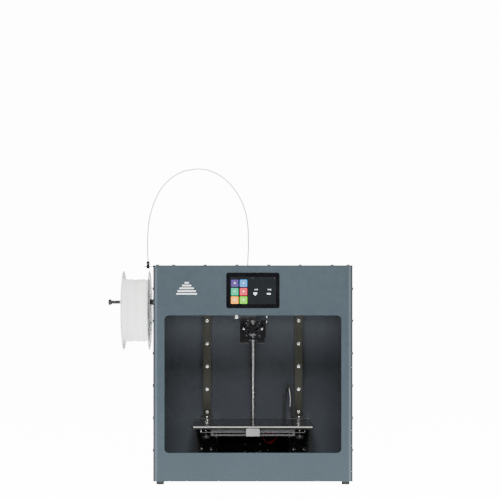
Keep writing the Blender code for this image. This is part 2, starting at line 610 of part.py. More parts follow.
# --- bed --------------------------------------------------------------------------------------------
def make_bed(parent):
    for side, sign in both_sides():
        inner, outer = ARM_INNER_X, ARM_OUTER_X
        flange = sorted((sign * inner, sign * outer))
        arm = block("bed_arm_" + side, (flange[0], ARM_Y, 0.040), (flange[1], ARM_Y + 0.004, 0.134),
                    "dark_aluminium", parent)
        web = bmesh.new()
        thickness = 0.0032
        outline = [(-0.112, 0.104), (0.060, 0.060), (0.130, 0.046), (0.130, 0.116), (-0.112, 0.116)]
        add_prism(web, outline, thickness, "X", start=inner if sign > 0 else -inner - thickness)
        join(arm, web)
        if sign > 0:
            tab = bmesh.new()
            add_block(tab, (0.076, 0.1295, 0.100), (0.0895, 0.146, 0.112))
            join(arm, tab)
        span = [(-0.0295, 0.1333), (0.0295, 0.1333), (0.0295, 0.160), (0.0103, 0.160), (0.0103, 0.1462),
                (-0.0103, 0.1462), (-0.0103, 0.160), (-0.0295, 0.160)]
        prism("z_block_" + side, span, 0.076, "Z", "bright_steel", parent, (sign * RAIL_X, 0, 0.056))
    reach = ARM_INNER_X - GAP
    cross = block("bed_crossmember", (-reach, 0.114, 0.044), (reach, 0.118, 0.112), "black_plastic", parent)
    nut = bmesh.new()
    add_block(nut, (-0.016, 0.1170, 0.088), (0.016, 0.156, 0.100))
    join(cross, nut)
    collar = bmesh.new()
    add_cylinder(collar, (0, LEAD_SCREW_Y, 0.1015), 0.011, 0.007, "Z", sides=16)
    join(cross, collar)
    bore = bmesh.new()
    add_cylinder(bore, (0, LEAD_SCREW_Y, 0.095), LEAD_SCREW_RADIUS + GAP, 0.030, "Z", sides=16)
    cut(cross, bore)

    frame = block("bed_frame", (-0.127, -0.118, 0.1163), (0.127, 0.110, 0.1183), "dark_aluminium", parent)
    flange = bmesh.new()
    add_block(flange, (-0.103, -0.120, 0.1085), (0.103, -0.1175, 0.1247))
    join(frame, flange)
    holes = bmesh.new()
    for sign in (-1, 1):
        span = sorted((sign * 0.018, sign * 0.098))
        add_prism(holes, rounded_rectangle(*span, 0.1130, 0.1163, 0.0016, 2), 0.010, "Y", start=-0.125)
        span = sorted((sign * 0.020, sign * 0.078))
        for low_y in (-0.090, 0.010):
            add_block(holes, (span[0], low_y, 0.115), (span[1], low_y + 0.055, 0.120))
    for x, y in LEVEL_POINTS.values():
        add_cylinder(holes, (x, y, 0.117), 0.0020, 0.010, "Z", sides=8)
    cut(frame, holes)
    block("heater_plate", (-0.149, -0.129, 0.1250), (0.149, 0.126, 0.1287), "aluminium", parent)
    outline = rounded_rectangle(-PLATE_HALF_WIDTH, PLATE_HALF_WIDTH, PLATE_FRONT, PLATE_REAR, 0.006)
    prism("build_plate", outline, PLATE_THICKNESS, "Z", "dark_aluminium", parent,
          (0, 0, PLATE_TOP - PLATE_THICKNESS))
    outline = [(-0.1345, 0.1085), (-0.1203, 0.1085), (-0.1203, 0.1100), (-0.1330, 0.1100),
               (-0.1330, 0.1262), (-0.1303, 0.1262), (-0.1303, 0.1278), (-0.1345, 0.1278)]
    prism("front_clip", outline, 0.033, "X", "bright_steel", parent, (-0.0165, 0, 0))
    for name, (x, y) in LEVEL_POINTS.items():
        profile = [(0, -0.005), (0.012, -0.005), (0.013, -0.003), (0.013, 0.003), (0.012, 0.005),
                   (0.0015, 0.005), (0.0015, 0.0197), (0, 0.0197)]
        turned("level_knob_" + name, profile, "Z", "black_plastic", parent, (x, y, 0.105), sides=16)
    flexible("bed_cable", [(x, CABLE_Y, z) for x, z in BED_LOOP], CABLE_RADIUS, "cable", parent)


# --- gantry -----------------------------------------------------------------------------------------
def make_gantry(parent):
    half = 0.2190
    low_y, high_y = GANTRY_Y - 0.010, GANTRY_Y + 0.010
    beam = block("x_beam", (-half, low_y, BEAM_LOW), (half, high_y, BEAM_HIGH), "aluminium", parent)
    ends = bmesh.new()
    for sign in (-1, 1):
        span = sorted((sign * (half - 0.0005), sign * 0.2234))
        add_block(ends, (span[0], GANTRY_Y - 0.024, 0.452), (span[1], GANTRY_Y + 0.024, 0.490))
    join(beam, ends)
    fittings = bmesh.new()
    add_block(fittings, (-0.190, GANTRY_Y - 0.006, BEAM_HIGH - 0.0005), (0.190, GANTRY_Y + 0.006, 0.494))
    for sign in (-1, 1):
        span = sorted((sign * 0.2095, sign * 0.2200))
        add_block(fittings, (span[0], GANTRY_Y - 0.006, BEAM_HIGH - 0.0005),
                  (span[1], GANTRY_Y + 0.006, 0.4925))
    add_turned(fittings, [(0, 0.0215), (0.004, 0.0215), (0.004, 0.0225), (0.002, 0.0225), (0.002, 0.0345),
                          (0, 0.0345)], "Y", (X_PULLEY_X, 0, X_BELT_Z), 12)
    join(beam, fittings)
    hole = bmesh.new()
    add_cylinder(hole, (-X_PULLEY_X, GANTRY_Y, X_BELT_Z), 0.0060, 0.030, "Y", sides=16)
    cut(beam, hole)
    for side, sign in both_sides():
        lip, web, groove = sign * 0.2342, sign * 0.2237, sign * 0.2284
        outline = [(web, 0.4575), (web, 0.4845), (lip, 0.4845), (lip, 0.4773), (groove, 0.4773),
                   (groove, 0.4647), (lip, 0.4647), (lip, 0.4575)]
        prism("y_block_" + side, outline, 0.045, "Y", "bright_steel", parent, (0, GANTRY_Y - 0.0225, 0))
    prism("x_motor", motor_outline(-X_PULLEY_X, X_BELT_Z), MOTOR_LENGTH, "Y", "black_plastic", parent,
          (0, high_y + GAP, 0))
    outer = race_track(-X_PULLEY_X, X_PULLEY_X, X_BELT_Z, BELT_OUTER)
    inner = race_track(-X_PULLEY_X, X_PULLEY_X, X_BELT_Z, BELT_INNER)
    prism("x_belt", outer, BELT_WIDTH, "Y", "belt_rubber", parent, (0, X_BELT_Y - BELT_WIDTH / 2, 0),
          hole=inner)


def make_head(parent):
    outline = [(0.016, 0.404), (0.020, 0.404), (0.020, 0.4993), (0.0575, 0.4993), (0.0575, 0.5023),
               (0.016, 0.5023)]
    plate = prism("carriage_plate", outline, 0.068, "X", "dark_aluminium", parent, (-0.034, 0, 0))
    clamp = bmesh.new()
    add_block(clamp, (-0.010, 0.0195, 0.474), (0.010, 0.0237, 0.482))
    join(plate, clamp)
    outline = [(0.0305, 0.4880), (0.0377, 0.4880), (0.0377, 0.4943), (0.0503, 0.4943), (0.0503, 0.4880),
               (0.0570, 0.4880), (0.0570, 0.4998), (0.0305, 0.4998)]
    slider = bmesh.new()
    add_prism(slider, outline, SLIDER_LENGTH, "X", start=-SLIDER_LENGTH / 2)
    join(plate, slider)
    body = block("extruder_body", (-0.032, -0.020, 0.392), (0.008, 0.0157, 0.452), "dark_aluminium", parent)
    fitting = bmesh.new()
    profile = [(0, 0.4515), (0.0055, 0.4515), (0.0055, 0.4600), (0.0040, 0.4615), (0.0040, 0.4660),
               (0.0050, 0.4675), (0.0050, 0.4703), (0, 0.4703)]
    add_turned(fitting, profile, "Z", (FILAMENT_X, 0, 0), 12)
    join(body, fitting)
    motor = prism("extruder_motor", motor_outline(GEAR_X, GEAR_Z), EXTRUDER_MOTOR_LENGTH, "Y",
                  "black_plastic", parent, (0, -0.056, 0))
    legs = bmesh.new()
    for x in (GEAR_X - 0.0155, GEAR_X + 0.0085):
        for z in (GEAR_Z - 0.0155, GEAR_Z + 0.0155):
            add_cylinder(legs, (x, -0.0262, z), 0.002, 0.0118, "Y", sides=8)
    join(motor, legs)
    outline = []
    for i in range(GEAR_TEETH):
        for share, radius in ((0.0, 0.0090), (0.25, 0.0090), (0.45, 0.0105), (0.8, 0.0105)):
            angle = 2 * math.pi * (i + share) / GEAR_TEETH
            outline.append((radius * math.cos(angle), radius * math.sin(angle)))
    prism("extruder_gear", outline, 0.010, "Y", "brass", parent, (GEAR_X, -0.0305, GEAR_Z))
    make_hot_end(parent)
    make_head_cover(parent)


def make_hot_end(parent):
    profile = [(0, NOZZLE_Z), (0.0008, NOZZLE_Z), (0.0035, NOZZLE_Z + 0.004), (0.0035, 0.352)]
    for i in range(5):
        low = 0.354 + i * 0.0072
        profile += [(0.0045, low), (0.011, low), (0.011, low + 0.002), (0.0045, low + 0.002)]
    profile += [(0.0060, 0.3850), (0.0060, 0.3917), (0, 0.3917)]
    hot_end = turned("hot_end", profile, "Z", "aluminium", parent, (FILAMENT_X, 0, 0), sides=14)
    heater = bmesh.new()
    add_block(heater, (FILAMENT_X - 0.009, -0.007, 0.339), (FILAMENT_X + 0.011, 0.010, 0.350))
    join(hot_end, heater)


def make_head_cover(parent):
    cover = block("head_cover", (-0.032, -0.036, 0.346), (0.032, 0.0157, 0.3917), "black_plastic", parent)
    hollow = bmesh.new()
    add_block(hollow, (-0.030, -0.034, 0.340), (0.030, 0.0137, 0.400))
    cut(cover, hollow)
    housing = bmesh.new()
    add_block(housing, (-0.020, -0.046, FAN_Z - 0.020), (0.020, -0.0355, FAN_Z + 0.020))
    join(cover, housing)
    bore = bmesh.new()
    add_cylinder(bore, (0, -0.0400, FAN_Z), 0.0185, 0.016, "Y", sides=24)
    cut(cover, bore)
    struts = bmesh.new()
    add_block(struts, (-0.0190, -0.0460, FAN_Z - 0.0010), (0.0190, -0.0448, FAN_Z + 0.0010))
    join(cover, struts)
    upright = bmesh.new()
    add_block(upright, (-0.0010, -0.0460, FAN_Z - 0.0190), (0.0010, -0.0448, FAN_Z + 0.0190))
    join(cover, upright)
    rotor = turned("fan_rotor", [(0, -0.004), (0.0090, -0.004), (0.0090, 0.004), (0, 0.004)], "Y",
                   "black_plastic", parent, (0, -0.0400, FAN_Z), sides=16)
    blades = bmesh.new()
    for i in range(7):
        spin = Matrix.Rotation(2 * math.pi * i / 7, 4, "Y")
        pitch = Matrix.Rotation(math.radians(50), 4, "X")
        place = Matrix.Translation(rotor.location) @ spin @ Matrix.Translation((0.0125, 0, 0)) @ pitch
        bmesh.ops.create_cube(blades, size=1, matrix=place @ Matrix.Diagonal((0.0090, 0.0008, 0.0070, 1)))
    join(rotor, blades)
    outline = [(-0.0326, 0.334), (-0.0094, 0.334), (-0.0094, 0.3425), (0.0110, 0.3425), (0.0110, 0.334),
               (0.0296, 0.334), (0.0296, 0.3470), (-0.0326, 0.3470)]
    duct = bmesh.new()
    add_prism(duct, outline, 0.024, "Y", start=-0.0345)
    join(cover, duct)


def main():
    clear_scene()
    printer = group("printer")
    printer.location.x = BODY_X
    frame = group("frame", printer)
    bed = group("bed", printer)
    gantry = group("gantry", printer)
    carriage = group("carriage", gantry)
    make_front_panel(frame)
    for side, sign in both_sides():
        make_side_panel(side, sign, frame)
    make_rear_panel(frame)
    make_top_rim(frame)
    make_base(frame)
    make_inner_wall(frame)
    make_fixed_drives(frame)
    make_electronics(frame)
    make_display(frame)
    make_supply(frame)
    make_spool(frame)
    make_shafts(frame, gantry)
    make_bed(bed)
    make_gantry(gantry)
    make_head(carriage)
    flexible("feed_tube_fall", feed_route(FEED_FALL), TUBE_RADIUS, "feed_tube", carriage)


main()
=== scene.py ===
"""Looks of the desktop FDM printer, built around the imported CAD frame. Metres, +Z up, front faces -Y."""
import math
import random

import bmesh
import bpy
from mathutils import Matrix, Vector


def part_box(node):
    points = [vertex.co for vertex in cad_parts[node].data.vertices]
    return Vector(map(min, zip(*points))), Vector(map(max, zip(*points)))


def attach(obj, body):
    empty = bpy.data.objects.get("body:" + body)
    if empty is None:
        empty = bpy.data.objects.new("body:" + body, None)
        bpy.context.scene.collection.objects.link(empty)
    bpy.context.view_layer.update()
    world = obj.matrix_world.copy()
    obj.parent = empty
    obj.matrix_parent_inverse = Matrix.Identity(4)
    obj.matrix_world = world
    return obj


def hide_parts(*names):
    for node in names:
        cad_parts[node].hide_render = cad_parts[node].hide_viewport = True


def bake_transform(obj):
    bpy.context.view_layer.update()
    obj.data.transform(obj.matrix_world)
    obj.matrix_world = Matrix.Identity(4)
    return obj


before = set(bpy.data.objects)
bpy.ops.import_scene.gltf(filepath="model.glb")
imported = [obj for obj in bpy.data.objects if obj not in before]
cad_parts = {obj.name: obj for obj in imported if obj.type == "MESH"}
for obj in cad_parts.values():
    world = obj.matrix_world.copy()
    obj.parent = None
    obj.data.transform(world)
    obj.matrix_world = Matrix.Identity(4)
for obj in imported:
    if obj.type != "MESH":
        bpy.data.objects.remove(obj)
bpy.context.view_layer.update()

# --- places read from the frame ---
FRONT_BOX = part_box("front_panel")
MIDDLE_X = (FRONT_BOX[0][0] + FRONT_BOX[1][0]) / 2
HALF_WIDTH = (FRONT_BOX[1][0] - FRONT_BOX[0][0]) / 2
FRONT_Y = FRONT_BOX[0][1]
TOP_Z = 0.525                     # the top rim's upper face

ALONG_X, UP, TO_FRONT, TO_BACK = (1, 0, 0), (0, 0, 1), (0, -1, 0), (0, 1, 0)


def at(x, y, z):
    """A point given from the body's middle."""
    return Vector((MIDDLE_X + x, y, z))


# --- camera, lights, floor ---
CAMERA_DISTANCE = 3.7             # to the front face
CAMERA_HEIGHT = 0.429
VIEW_WIDTH = 1.1925               # what the picture's width takes in at the front face
VIEW_SHIFT = (-0.0058, 0.1104)
SENSOR = 36.0
WORLD_LIGHT = 0.12                # what the studio's walls give
BACKDROP_LIGHT = 14.0             # how bright they look themselves
FLOOR_LIGHT = 4.2                 # the light table that the printer stands on
FLOOR_RIM_LIGHT = 0.1             # what is left of it far from the printer
FLOOR_FADE = (0.7, 2.0)           # from where to where it falls off
FLOOR_HALF = 9
LIGHTS = (("key", (-1.3, -2.8, 0.5), (0, 0, 0.15), (0.9, 0.7), 8),
          ("fill", (1.4, -2.8, 0.5), (0, 0, 0.15), (0.9, 0.7), 11),
          ("front", (0.06, -2.9, 1.85), (0.06, 0, 0.15), (0.9, 1.0), 155),
          ("top", (0.1, 0.1, 2.6), (0, 0, 0.3), (1.6, 1.6), 32))


def put_in_scene(name, data):
    made = bpy.data.objects.new(name, data)
    bpy.context.scene.collection.objects.link(made)
    return made


def make_camera():
    data = bpy.data.cameras.new("camera")
    data.sensor_width = SENSOR
    data.lens = SENSOR * CAMERA_DISTANCE / VIEW_WIDTH
    data.shift_x, data.shift_y = VIEW_SHIFT
    data.clip_end = 50
    camera = put_in_scene("camera", data)
    camera.location = (MIDDLE_X, FRONT_Y - CAMERA_DISTANCE, CAMERA_HEIGHT)
    camera.rotation_euler = (math.pi / 2, 0, 0)
    bpy.context.scene.camera = camera


def make_light(name, place, target, size, power):
    data = bpy.data.lights.new(name, "AREA")
    data.shape = "RECTANGLE"
    data.size, data.size_y = size
    data.energy = power
    light = put_in_scene(name, data)
    light.location = place
    light.rotation_euler = (Vector(target) - Vector(place)).to_track_quat("-Z", "Y").to_euler()
    light.visible_camera = False


def add_node(tree, kind, **inputs):
    """A shader node. An input is a value, or a socket to link to it; its name has _ for each space."""
    made = tree.nodes.new(kind)
    for key, value in inputs.items():
        socket = made.inputs[key.replace("_", " ")]
        if isinstance(value, bpy.types.NodeSocket):
            tree.links.new(value, socket)
        else:
            socket.default_value = value
    return made


def brightness(tree, as_light):
    """A strength that is the backdrop's to the camera, and another one as a light."""
    seen = add_node(tree, "ShaderNodeLightPath").outputs["Is Camera Ray"]
    level = add_node(tree, "ShaderNodeMapRange", Value=seen, To_Min=as_light, To_Max=BACKDROP_LIGHT)
    return level.outputs["Result"]


def make_studio():
    world = bpy.data.worlds.new("studio")
    world.use_nodes = True
    background = world.node_tree.nodes["Background"]
    background.inputs["Color"].default_value = (1, 1, 1, 1)
    world.node_tree.links.new(brightness(world.node_tree, WORLD_LIGHT), background.inputs["Strength"])
    bpy.context.scene.world = world
    for light in LIGHTS:
        make_light(*light)
    paint = plain_material("studio_floor", (0.92, 0.92, 0.92), 0.9)
    tree = paint.node_tree
    place = add_node(tree, "ShaderNodeTexCoord").outputs["Object"]
    distance = add_node(tree, "ShaderNodeVectorMath", Vector=place)
    distance.operation = "LENGTH"
    glow = add_node(tree, "ShaderNodeMapRange", Value=distance.outputs["Value"], From_Min=FLOOR_FADE[0],
                    From_Max=FLOOR_FADE[1], To_Min=FLOOR_LIGHT, To_Max=FLOOR_RIM_LIGHT)
    shader = tree.nodes["Principled BSDF"]
    shader.inputs["Emission Color"].default_value = (1, 1, 1, 1)
    tree.links.new(brightness(tree, glow.outputs["Result"]), shader.inputs["Emission Strength"])
    mesh = bpy.data.meshes.new("floor")
    corners = [(u * FLOOR_HALF, v * FLOOR_HALF, 0) for u, v in ((-1, -1), (1, -1), (1, 1), (-1, 1))]
    mesh.from_pydata(corners, [], [(0, 1, 2, 3)])
    mesh.materials.append(paint)
    put_in_scene("floor", mesh)


# --- materials ---
def plain_material(name, colour, roughness, metallic=0.0):
    material = bpy.data.materials.new(name)
    material.use_nodes = True
    shader = material.node_tree.nodes["Principled BSDF"]
    shader.inputs["Base Color"].default_value = (*colour, 1)
    shader.inputs["Roughness"].default_value = roughness
    shader.inputs["Metallic"].default_value = metallic
    return material


class Surface:
    """A Principled material whose colour, roughness and relief come from procedural textures."""

    def __init__(self, name, colour, roughness, metallic=0.0, coat=0.0, specular=0.5):
        self.material = plain_material(name, colour, roughness, metallic)
        self.tree = self.material.node_tree
        self.shader = self.tree.nodes["Principled BSDF"]
        self.colour, self.roughness, self.height = colour, roughness, None
        self.place = self.node("ShaderNodeTexCoord").outputs["Object"]
        self.set("Coat Weight", coat).set("Specular IOR Level", specular)

    def node(self, kind, **inputs):
        return add_node(self.tree, kind, **inputs)

    def set(self, key, value):
        self.shader.inputs[key].default_value = value
        return self

    def link(self, key, output):
        self.tree.links.new(output, self.shader.inputs[key])
        return self

    def stretched(self, scale):
        return self.node("ShaderNodeMapping", Vector=self.place, Scale=scale).outputs["Vector"]

    def noise(self, scale, detail=3.0, vector=None):
        made = self.node("ShaderNodeTexNoise", Vector=vector or self.place, Scale=scale, Detail=detail)
        return made.outputs["Fac"]

    def ramp(self, fac, low, high, low_value, high_value):
        made = self.node("ShaderNodeMapRange", Value=fac, From_Min=low, From_Max=high, To_Min=low_value,
                         To_Max=high_value)
        return made.outputs["Result"]

    def blend_colours(self, first, second, fac):
        mix = self.node("ShaderNodeMix")
        mix.data_type = "RGBA"
        mix.inputs[6].default_value = (*first, 1)
        mix.inputs[7].default_value = (*second, 1)
        self.tree.links.new(fac, mix.inputs[0])
        return self.link("Base Color", mix.outputs[2])

    def mottle(self, scale, amount, vector=None):
        """Let the colour wander about its own value by the given share."""
        dark = [c * (1 - amount) for c in self.colour]
        light = [min(1, c * (1 + amount)) for c in self.colour]
        return self.blend_colours(dark, light, self.ramp(self.noise(scale, 4.0, vector), 0.3, 0.7, 0, 1))

    def vary_roughness(self, scale, amount, vector=None):
        low, high = max(0.02, self.roughness - amount), min(1, self.roughness + amount)
        return self.link("Roughness", self.ramp(self.noise(scale, 4.0, vector), 0.3, 0.7, low, high))

    def relief(self, fac, distance, strength=1.0):
        bump = self.node("ShaderNodeBump", Height=fac, Strength=strength, Distance=distance)
        return self.link("Normal", bump.outputs["Normal"])


def coated(name, colour, roughness=0.5, specular=0.5):
    """Fine-grained powder coat."""
    s = Surface(name, colour, roughness, specular=specular)
    s.mottle(9, 0.045).vary_roughness(60, 0.06).relief(s.noise(1900, 2), 0.00012, 0.35)
    return s.material


def moulded(name, colour, roughness=0.45, grain=900, specular=0.5):
    s = Surface(name, colour, roughness, specular=specular)
    s.mottle(40, 0.12).vary_roughness(120, 0.08).relief(s.noise(grain, 3), 0.0001, 0.3)
    return s.material


def ground_steel(name, colour, roughness, along):
    """Metal ground lengthwise, with fine scratches along one axis."""
    s = Surface(name, colour, roughness, metallic=1.0)
    grain = s.stretched([12 if axis == along else 700 for axis in "XYZ"])
    s.mottle(25, 0.1).vary_roughness(1, 0.1, grain).relief(s.noise(1, 2, grain), 0.00003, 0.25)
    return s.material


def speckled(name, colour, speck):
    """Black anodised or textured paint with light specks."""
    s = Surface(name, colour, 0.55, metallic=0.2)
    fac = s.noise(650, 2)
    s.blend_colours(colour, speck, s.ramp(fac, 0.56, 0.68, 0, 1))
    s.vary_roughness(300, 0.12).relief(fac, 0.0002, 0.4)
    return s.material


def rubbery(name, colour, roughness=0.8):
    s = Surface(name, colour, roughness, specular=0.3)
    s.mottle(80, 0.15).vary_roughness(200, 0.08).relief(s.noise(1200, 3), 0.0002, 0.4)
    return s.material


def glowing(name, colour, strength):
    """A lit part of the screen, behind its glass."""
    s = Surface(name, colour, 0.18, coat=0.1, specular=0.12)
    s.set("Emission Color", (*colour, 1)).set("Emission Strength", strength)
    s.mottle(4000, 0.05).vary_roughness(100, 0.04)
    return s.material


def clear_plastic():
    s = Surface("clear_plastic", (0.86, 0.87, 0.88), 0.16, coat=0.3)
    s.set("Alpha", 0.72).set("IOR", 1.45)
    s.vary_roughness(80, 0.06).relief(s.noise(300, 2), 0.0001, 0.2)
    return s.material


def wound_plastic_with_painted_glow():
    """White filament, slightly translucent, banded across its turns, with a painted glow from its emission.
    """
    s = Surface("filament", (0.88, 0.865, 0.835), 0.38)
    # The emission is a painted glow: it lightens the filament beyond what the lamps give.
    s.set("Emission Color", (1, 0.98, 0.945, 1)).set("Emission Strength", 0.6)
    s.set("Subsurface Weight", 0.2)
    s.mottle(1, 0.28, s.stretched((190, 2, 2)))
    s.vary_roughness(120, 0.08).relief(s.noise(300, 3), 0.0001, 0.3)
    return s.material


def print_film():
    """Dark textured sheet that prints stick to."""
    s = Surface("print_film", (0.01, 0.01, 0.011), 0.16, specular=0.25)
    s.mottle(30, 0.1).vary_roughness(12, 0.03).relief(s.noise(2200, 2), 0.00002, 0.08)
    return s.material


def feed_tube_plastic():
    s = Surface("feed_tube", (0.84, 0.84, 0.82), 0.32, coat=0.1)
    s.set("Subsurface Weight", 0.2).mottle(60, 0.03).vary_roughness(150, 0.06)
    return s.material


def braided(name, colour):
    s = Surface(name, colour, 0.6)
    weave = s.node("ShaderNodeTexWave", Vector=s.place, Scale=700.0, Distortion=1.5)
    s.mottle(400, 0.3).relief(weave.outputs["Fac"], 0.0003, 0.5)
    return s.material


TILE_COLOURS = {"purple": (0.05, 0.032, 0.12), "blue": (0.035, 0.16, 0.38), "teal": (0.0, 0.27, 0.13),
                "crimson": (0.46, 0.028, 0.05), "amber": (0.72, 0.25, 0.015), "green": (0.1, 0.42, 0.008)}


def make_materials():
    looks = {
        "body": coated("body_coat", (0.02, 0.031, 0.039), 0.42, 0.22),
        # Painted highlight and painted shade copies of the body coat, standing in for the light and shade
        # on the front's rounded folds.
        "fold_painted_highlight": coated("body_fold_painted_highlight", (0.04, 0.054, 0.065), 0.42, 0.22),
        "fold_painted_shade": coated("body_fold_painted_shade", (0.0165, 0.0205, 0.0235), 0.42, 0.22),
        "inner": coated("inner_coat", (0.029, 0.034, 0.042), 0.5, 0.2),
        "black": moulded("black_plastic", (0.0045, 0.0045, 0.005), specular=0.3),
        "matte_black": moulded("matte_black", (0.0045, 0.0045, 0.005), 0.6, 900, 0.12),
        "gloss_black": moulded("gloss_black_plastic", (0.003, 0.003, 0.004), 0.16, 400, 0.12),
        "rubber": rubbery("foot_rubber", (0.016, 0.016, 0.017)),
        "belt": rubbery("belt_rubber", (0.02, 0.02, 0.022), 0.7),
        "rail": ground_steel("rail_steel", (0.036, 0.0355, 0.03), 0.4, "Z"),
        "steel": ground_steel("bright_steel", (0.66, 0.66, 0.65), 0.26, "Z"),
        "steel_x": ground_steel("bright_steel_across", (0.66, 0.66, 0.65), 0.26, "X"),
        "zinc": moulded("zinc_plate", (0.42, 0.42, 0.41), 0.32, 200, 0.5),
        "screw": ground_steel("screw_steel", (0.8, 0.8, 0.8), 0.2, "Y"),
        "dark_screw": ground_steel("screw_dark_steel", (0.13, 0.14, 0.15), 0.35, "Y"),
        "aluminium": ground_steel("aluminium", (0.7, 0.71, 0.73), 0.36, "X"),
        "dark_aluminium": speckled("dark_aluminium", (0.024, 0.0245, 0.026), (0.13, 0.13, 0.135)),
        "grey_aluminium": moulded("grey_anodised", (0.075, 0.08, 0.076), 0.4, 1500),
        "extruder": moulded("extruder_anodised", (0.02, 0.027, 0.027), 0.45, 1500),
        "edge_steel": ground_steel("ground_edge", (0.2, 0.205, 0.19), 0.38, "X"),
        "clip_steel": ground_steel("clip_steel", (0.17, 0.175, 0.17), 0.36, "X"),
        "brass": ground_steel("brass", (0.78, 0.56, 0.24), 0.28, "Y"),
        "glass": moulded("display_glass", (0.003, 0.003, 0.004), 0.1, 60, 0.12),
        "board": moulded("circuit_board", (0.018, 0.11, 0.05), 0.42, 500),
        "clear": clear_plastic(),
        "filament": wound_plastic_with_painted_glow(),
        "tube": feed_tube_plastic(),
        "cable": braided("cable_sleeve", (0.015, 0.015, 0.016)),
        "red": rubbery("red_silicone", (0.42, 0.014, 0.02), 0.45),
        "white": moulded("white_plastic", (0.75, 0.75, 0.74), 0.5),
        "mark": coated("printed_mark", (0.62, 0.64, 0.65), 0.4),
        "print_film": print_film(),
        "screen": glowing("screen", (0.0075, 0.0085, 0.0095), 0.15),
        "screen_white": glowing("screen_white", (0.62, 0.64, 0.66), 0.4),
        "screen_grey": glowing("screen_grey", (0.05, 0.053, 0.056), 0.4)}
    for name, colour in TILE_COLOURS.items():
        looks[name] = glowing("tile_" + name, colour, 0.45)
    return looks


NODE_LOOKS = {
    "body": "front_panel left_panel right_panel rear_panel top_rim base_pan",
    "inner": "z_mounting_plate",
    "rubber": "foot_front_left foot_front_right foot_rear_left foot_rear_right",
    "rail": "z_rail_left z_rail_right",
    "black": "z_motor y_motor x_motor extruder_motor head_cover spool_rod power_inlet power_switch "
             "level_knob_left level_knob_right level_knob_rear guide_fitting fan_rotor",
    "gloss_black": "display_bezel",
    # The heater plate's matte black is painted shade for the shadowed gap under the build plate; the
    # crossmember is black.
    "matte_black": "heater_plate bed_crossmember",
    "glass": "display_glass",
    "steel": "z_block_left z_block_right lead_screw front_clip",
    "steel_x": "y_block_left y_block_right y_drive_shaft y_idler_left y_idler_right x_pulley x_idler",
    "aluminium": "power_supply x_beam hot_end",
    "dark_aluminium": "bed_arm_left bed_arm_right bed_frame build_plate carriage_plate",
    "extruder": "extruder_body",
    "brass": "extruder_gear",
    "board": "main_board",
    "clear": "spool",
    "filament": "filament_winding",
    "belt": "y_belt_left y_belt_right x_belt"}


def dress_nodes():
    for look, names in NODE_LOOKS.items():
        for name in names.split():
            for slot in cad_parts[name].material_slots:
                slot.material = LOOKS[look]


# --- pieces and their forms ---
def piece(name, form, look, body=None, smooth=True, bevel=0.0, sharp=35):
    """An object made of a form, which is used up. It rides on the body if one is given."""
    bmesh.ops.recalc_face_normals(form, faces=form.faces)
    mesh = bpy.data.meshes.new(name)
    form.to_mesh(mesh)
    form.free()
    mesh.materials.append(LOOKS[look])
    if smooth:
        mesh.shade_smooth()
        mesh.set_sharp_from_angle(angle=math.radians(sharp))
    made = put_in_scene(name, mesh)
    if bevel:
        edge = made.modifiers.new("edge", "BEVEL")
        edge.width = bevel
        edge.segments = 2
        edge.limit_method = "ANGLE"
        edge.harden_normals = True
    if body:
        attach(made, body)
    return made


def stand_in(made, node):
    """Show a piece in a CAD node's place."""
    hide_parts(node)


def turn_to(axis):
    """Rotation that takes +Z onto a direction."""
    return Vector((0, 0, 1)).rotation_difference(Vector(axis)).to_matrix().to_4x4()


def compass(sides, start=0.0):
    """Cosine and sine of the angles of points evenly round a circle."""
    angles = [start + 2 * math.pi * i / sides for i in range(sides)]
    return [(math.cos(angle), math.sin(angle)) for angle in angles]


def skin(form, rings, loop=False):
    """Skin a row of rings of points. A loop goes back to the first ring; otherwise both ends are closed."""
    rings = [[form.verts.new(point) for point in ring] for ring in rings]
    for first, second in zip(rings, rings[1:] + rings[:1] if loop else rings[1:]):
        count = max(len(first), len(second))
        for i in range(count):
            j = (i + 1) % count
            corners = (first[i % len(first)], first[j % len(first)],
                       second[j % len(second)], second[i % len(second)])
            form.faces.new(list(dict.fromkeys(corners)))
    for end in () if loop else (rings[0], rings[-1]):
        if len(end) > 2:
            form.faces.new(end)


def add_cube(form, place, size):
    bmesh.ops.create_cube(form, size=1, matrix=place @ Matrix.Diagonal((*size, 1)))


def add_box(form, corner, opposite):
    """A box between two opposite corners, given from the body's middle."""
    corner, opposite = at(*corner), at(*opposite)
    add_cube(form, Matrix.Translation((corner + opposite) / 2), [abs(v) for v in opposite - corner])


def add_turned(form, profile, centre, axis, sides=32):
    """Revolve (radius, height) points about an axis through centre; radius 0 closes an end."""
    place = Matrix.Translation(centre) @ turn_to(axis)
    rings = [[place @ Vector((r * c, r * s, height)) for c, s in compass(sides if r else 1)]
             for r, height in profile]
    skin(form, rings, loop=profile[0][0] != 0)


def add_ring(form, centre, axis, radius, thickness, sides=36):
    """A round wire ring."""
    add_turned(form, [(radius + thickness * c, thickness * s) for c, s in compass(8)], centre, axis, sides)


def add_bar(form, section, half_length):
    """A bar along X of one section, given as (y, z)."""
    skin(form, [[at(x, y, z) for y, z in section] for x in (-half_length, half_length)])


def add_plate(form, outline, front_y, thickness):
    """A flat plate facing -Y, its outline given as (x, z) from the body's middle."""
    skin(form, [[at(u, y, v) for u, v in outline] for y in (front_y, front_y + thickness)])


def add_screw(form, place, axis, radius, height):
    """A button-head screw with a hexagonal socket, standing on a surface."""
    turn = Matrix.Translation(place) @ turn_to(axis)
    profile = ((radius, -0.0002), (radius, height * 0.25), (radius * 0.93, height * 0.62),
               (radius * 0.75, height * 0.9), (radius * 0.56, height))
    rings = [[(r * c, r * s, level) for c, s in compass(24)] for r, level in profile]
    reach = [radius * 0.48 * math.cos(math.pi / 6) / math.cos(math.pi * (i % 4) / 12 - math.pi / 6)
             for i in range(24)]
    for level in (height, height * 0.45):
        rings.append([(r * c, r * s, level) for r, (c, s) in zip(reach, compass(24))])
    skin(form, [[turn @ Vector(point) for point in ring] for ring in rings])


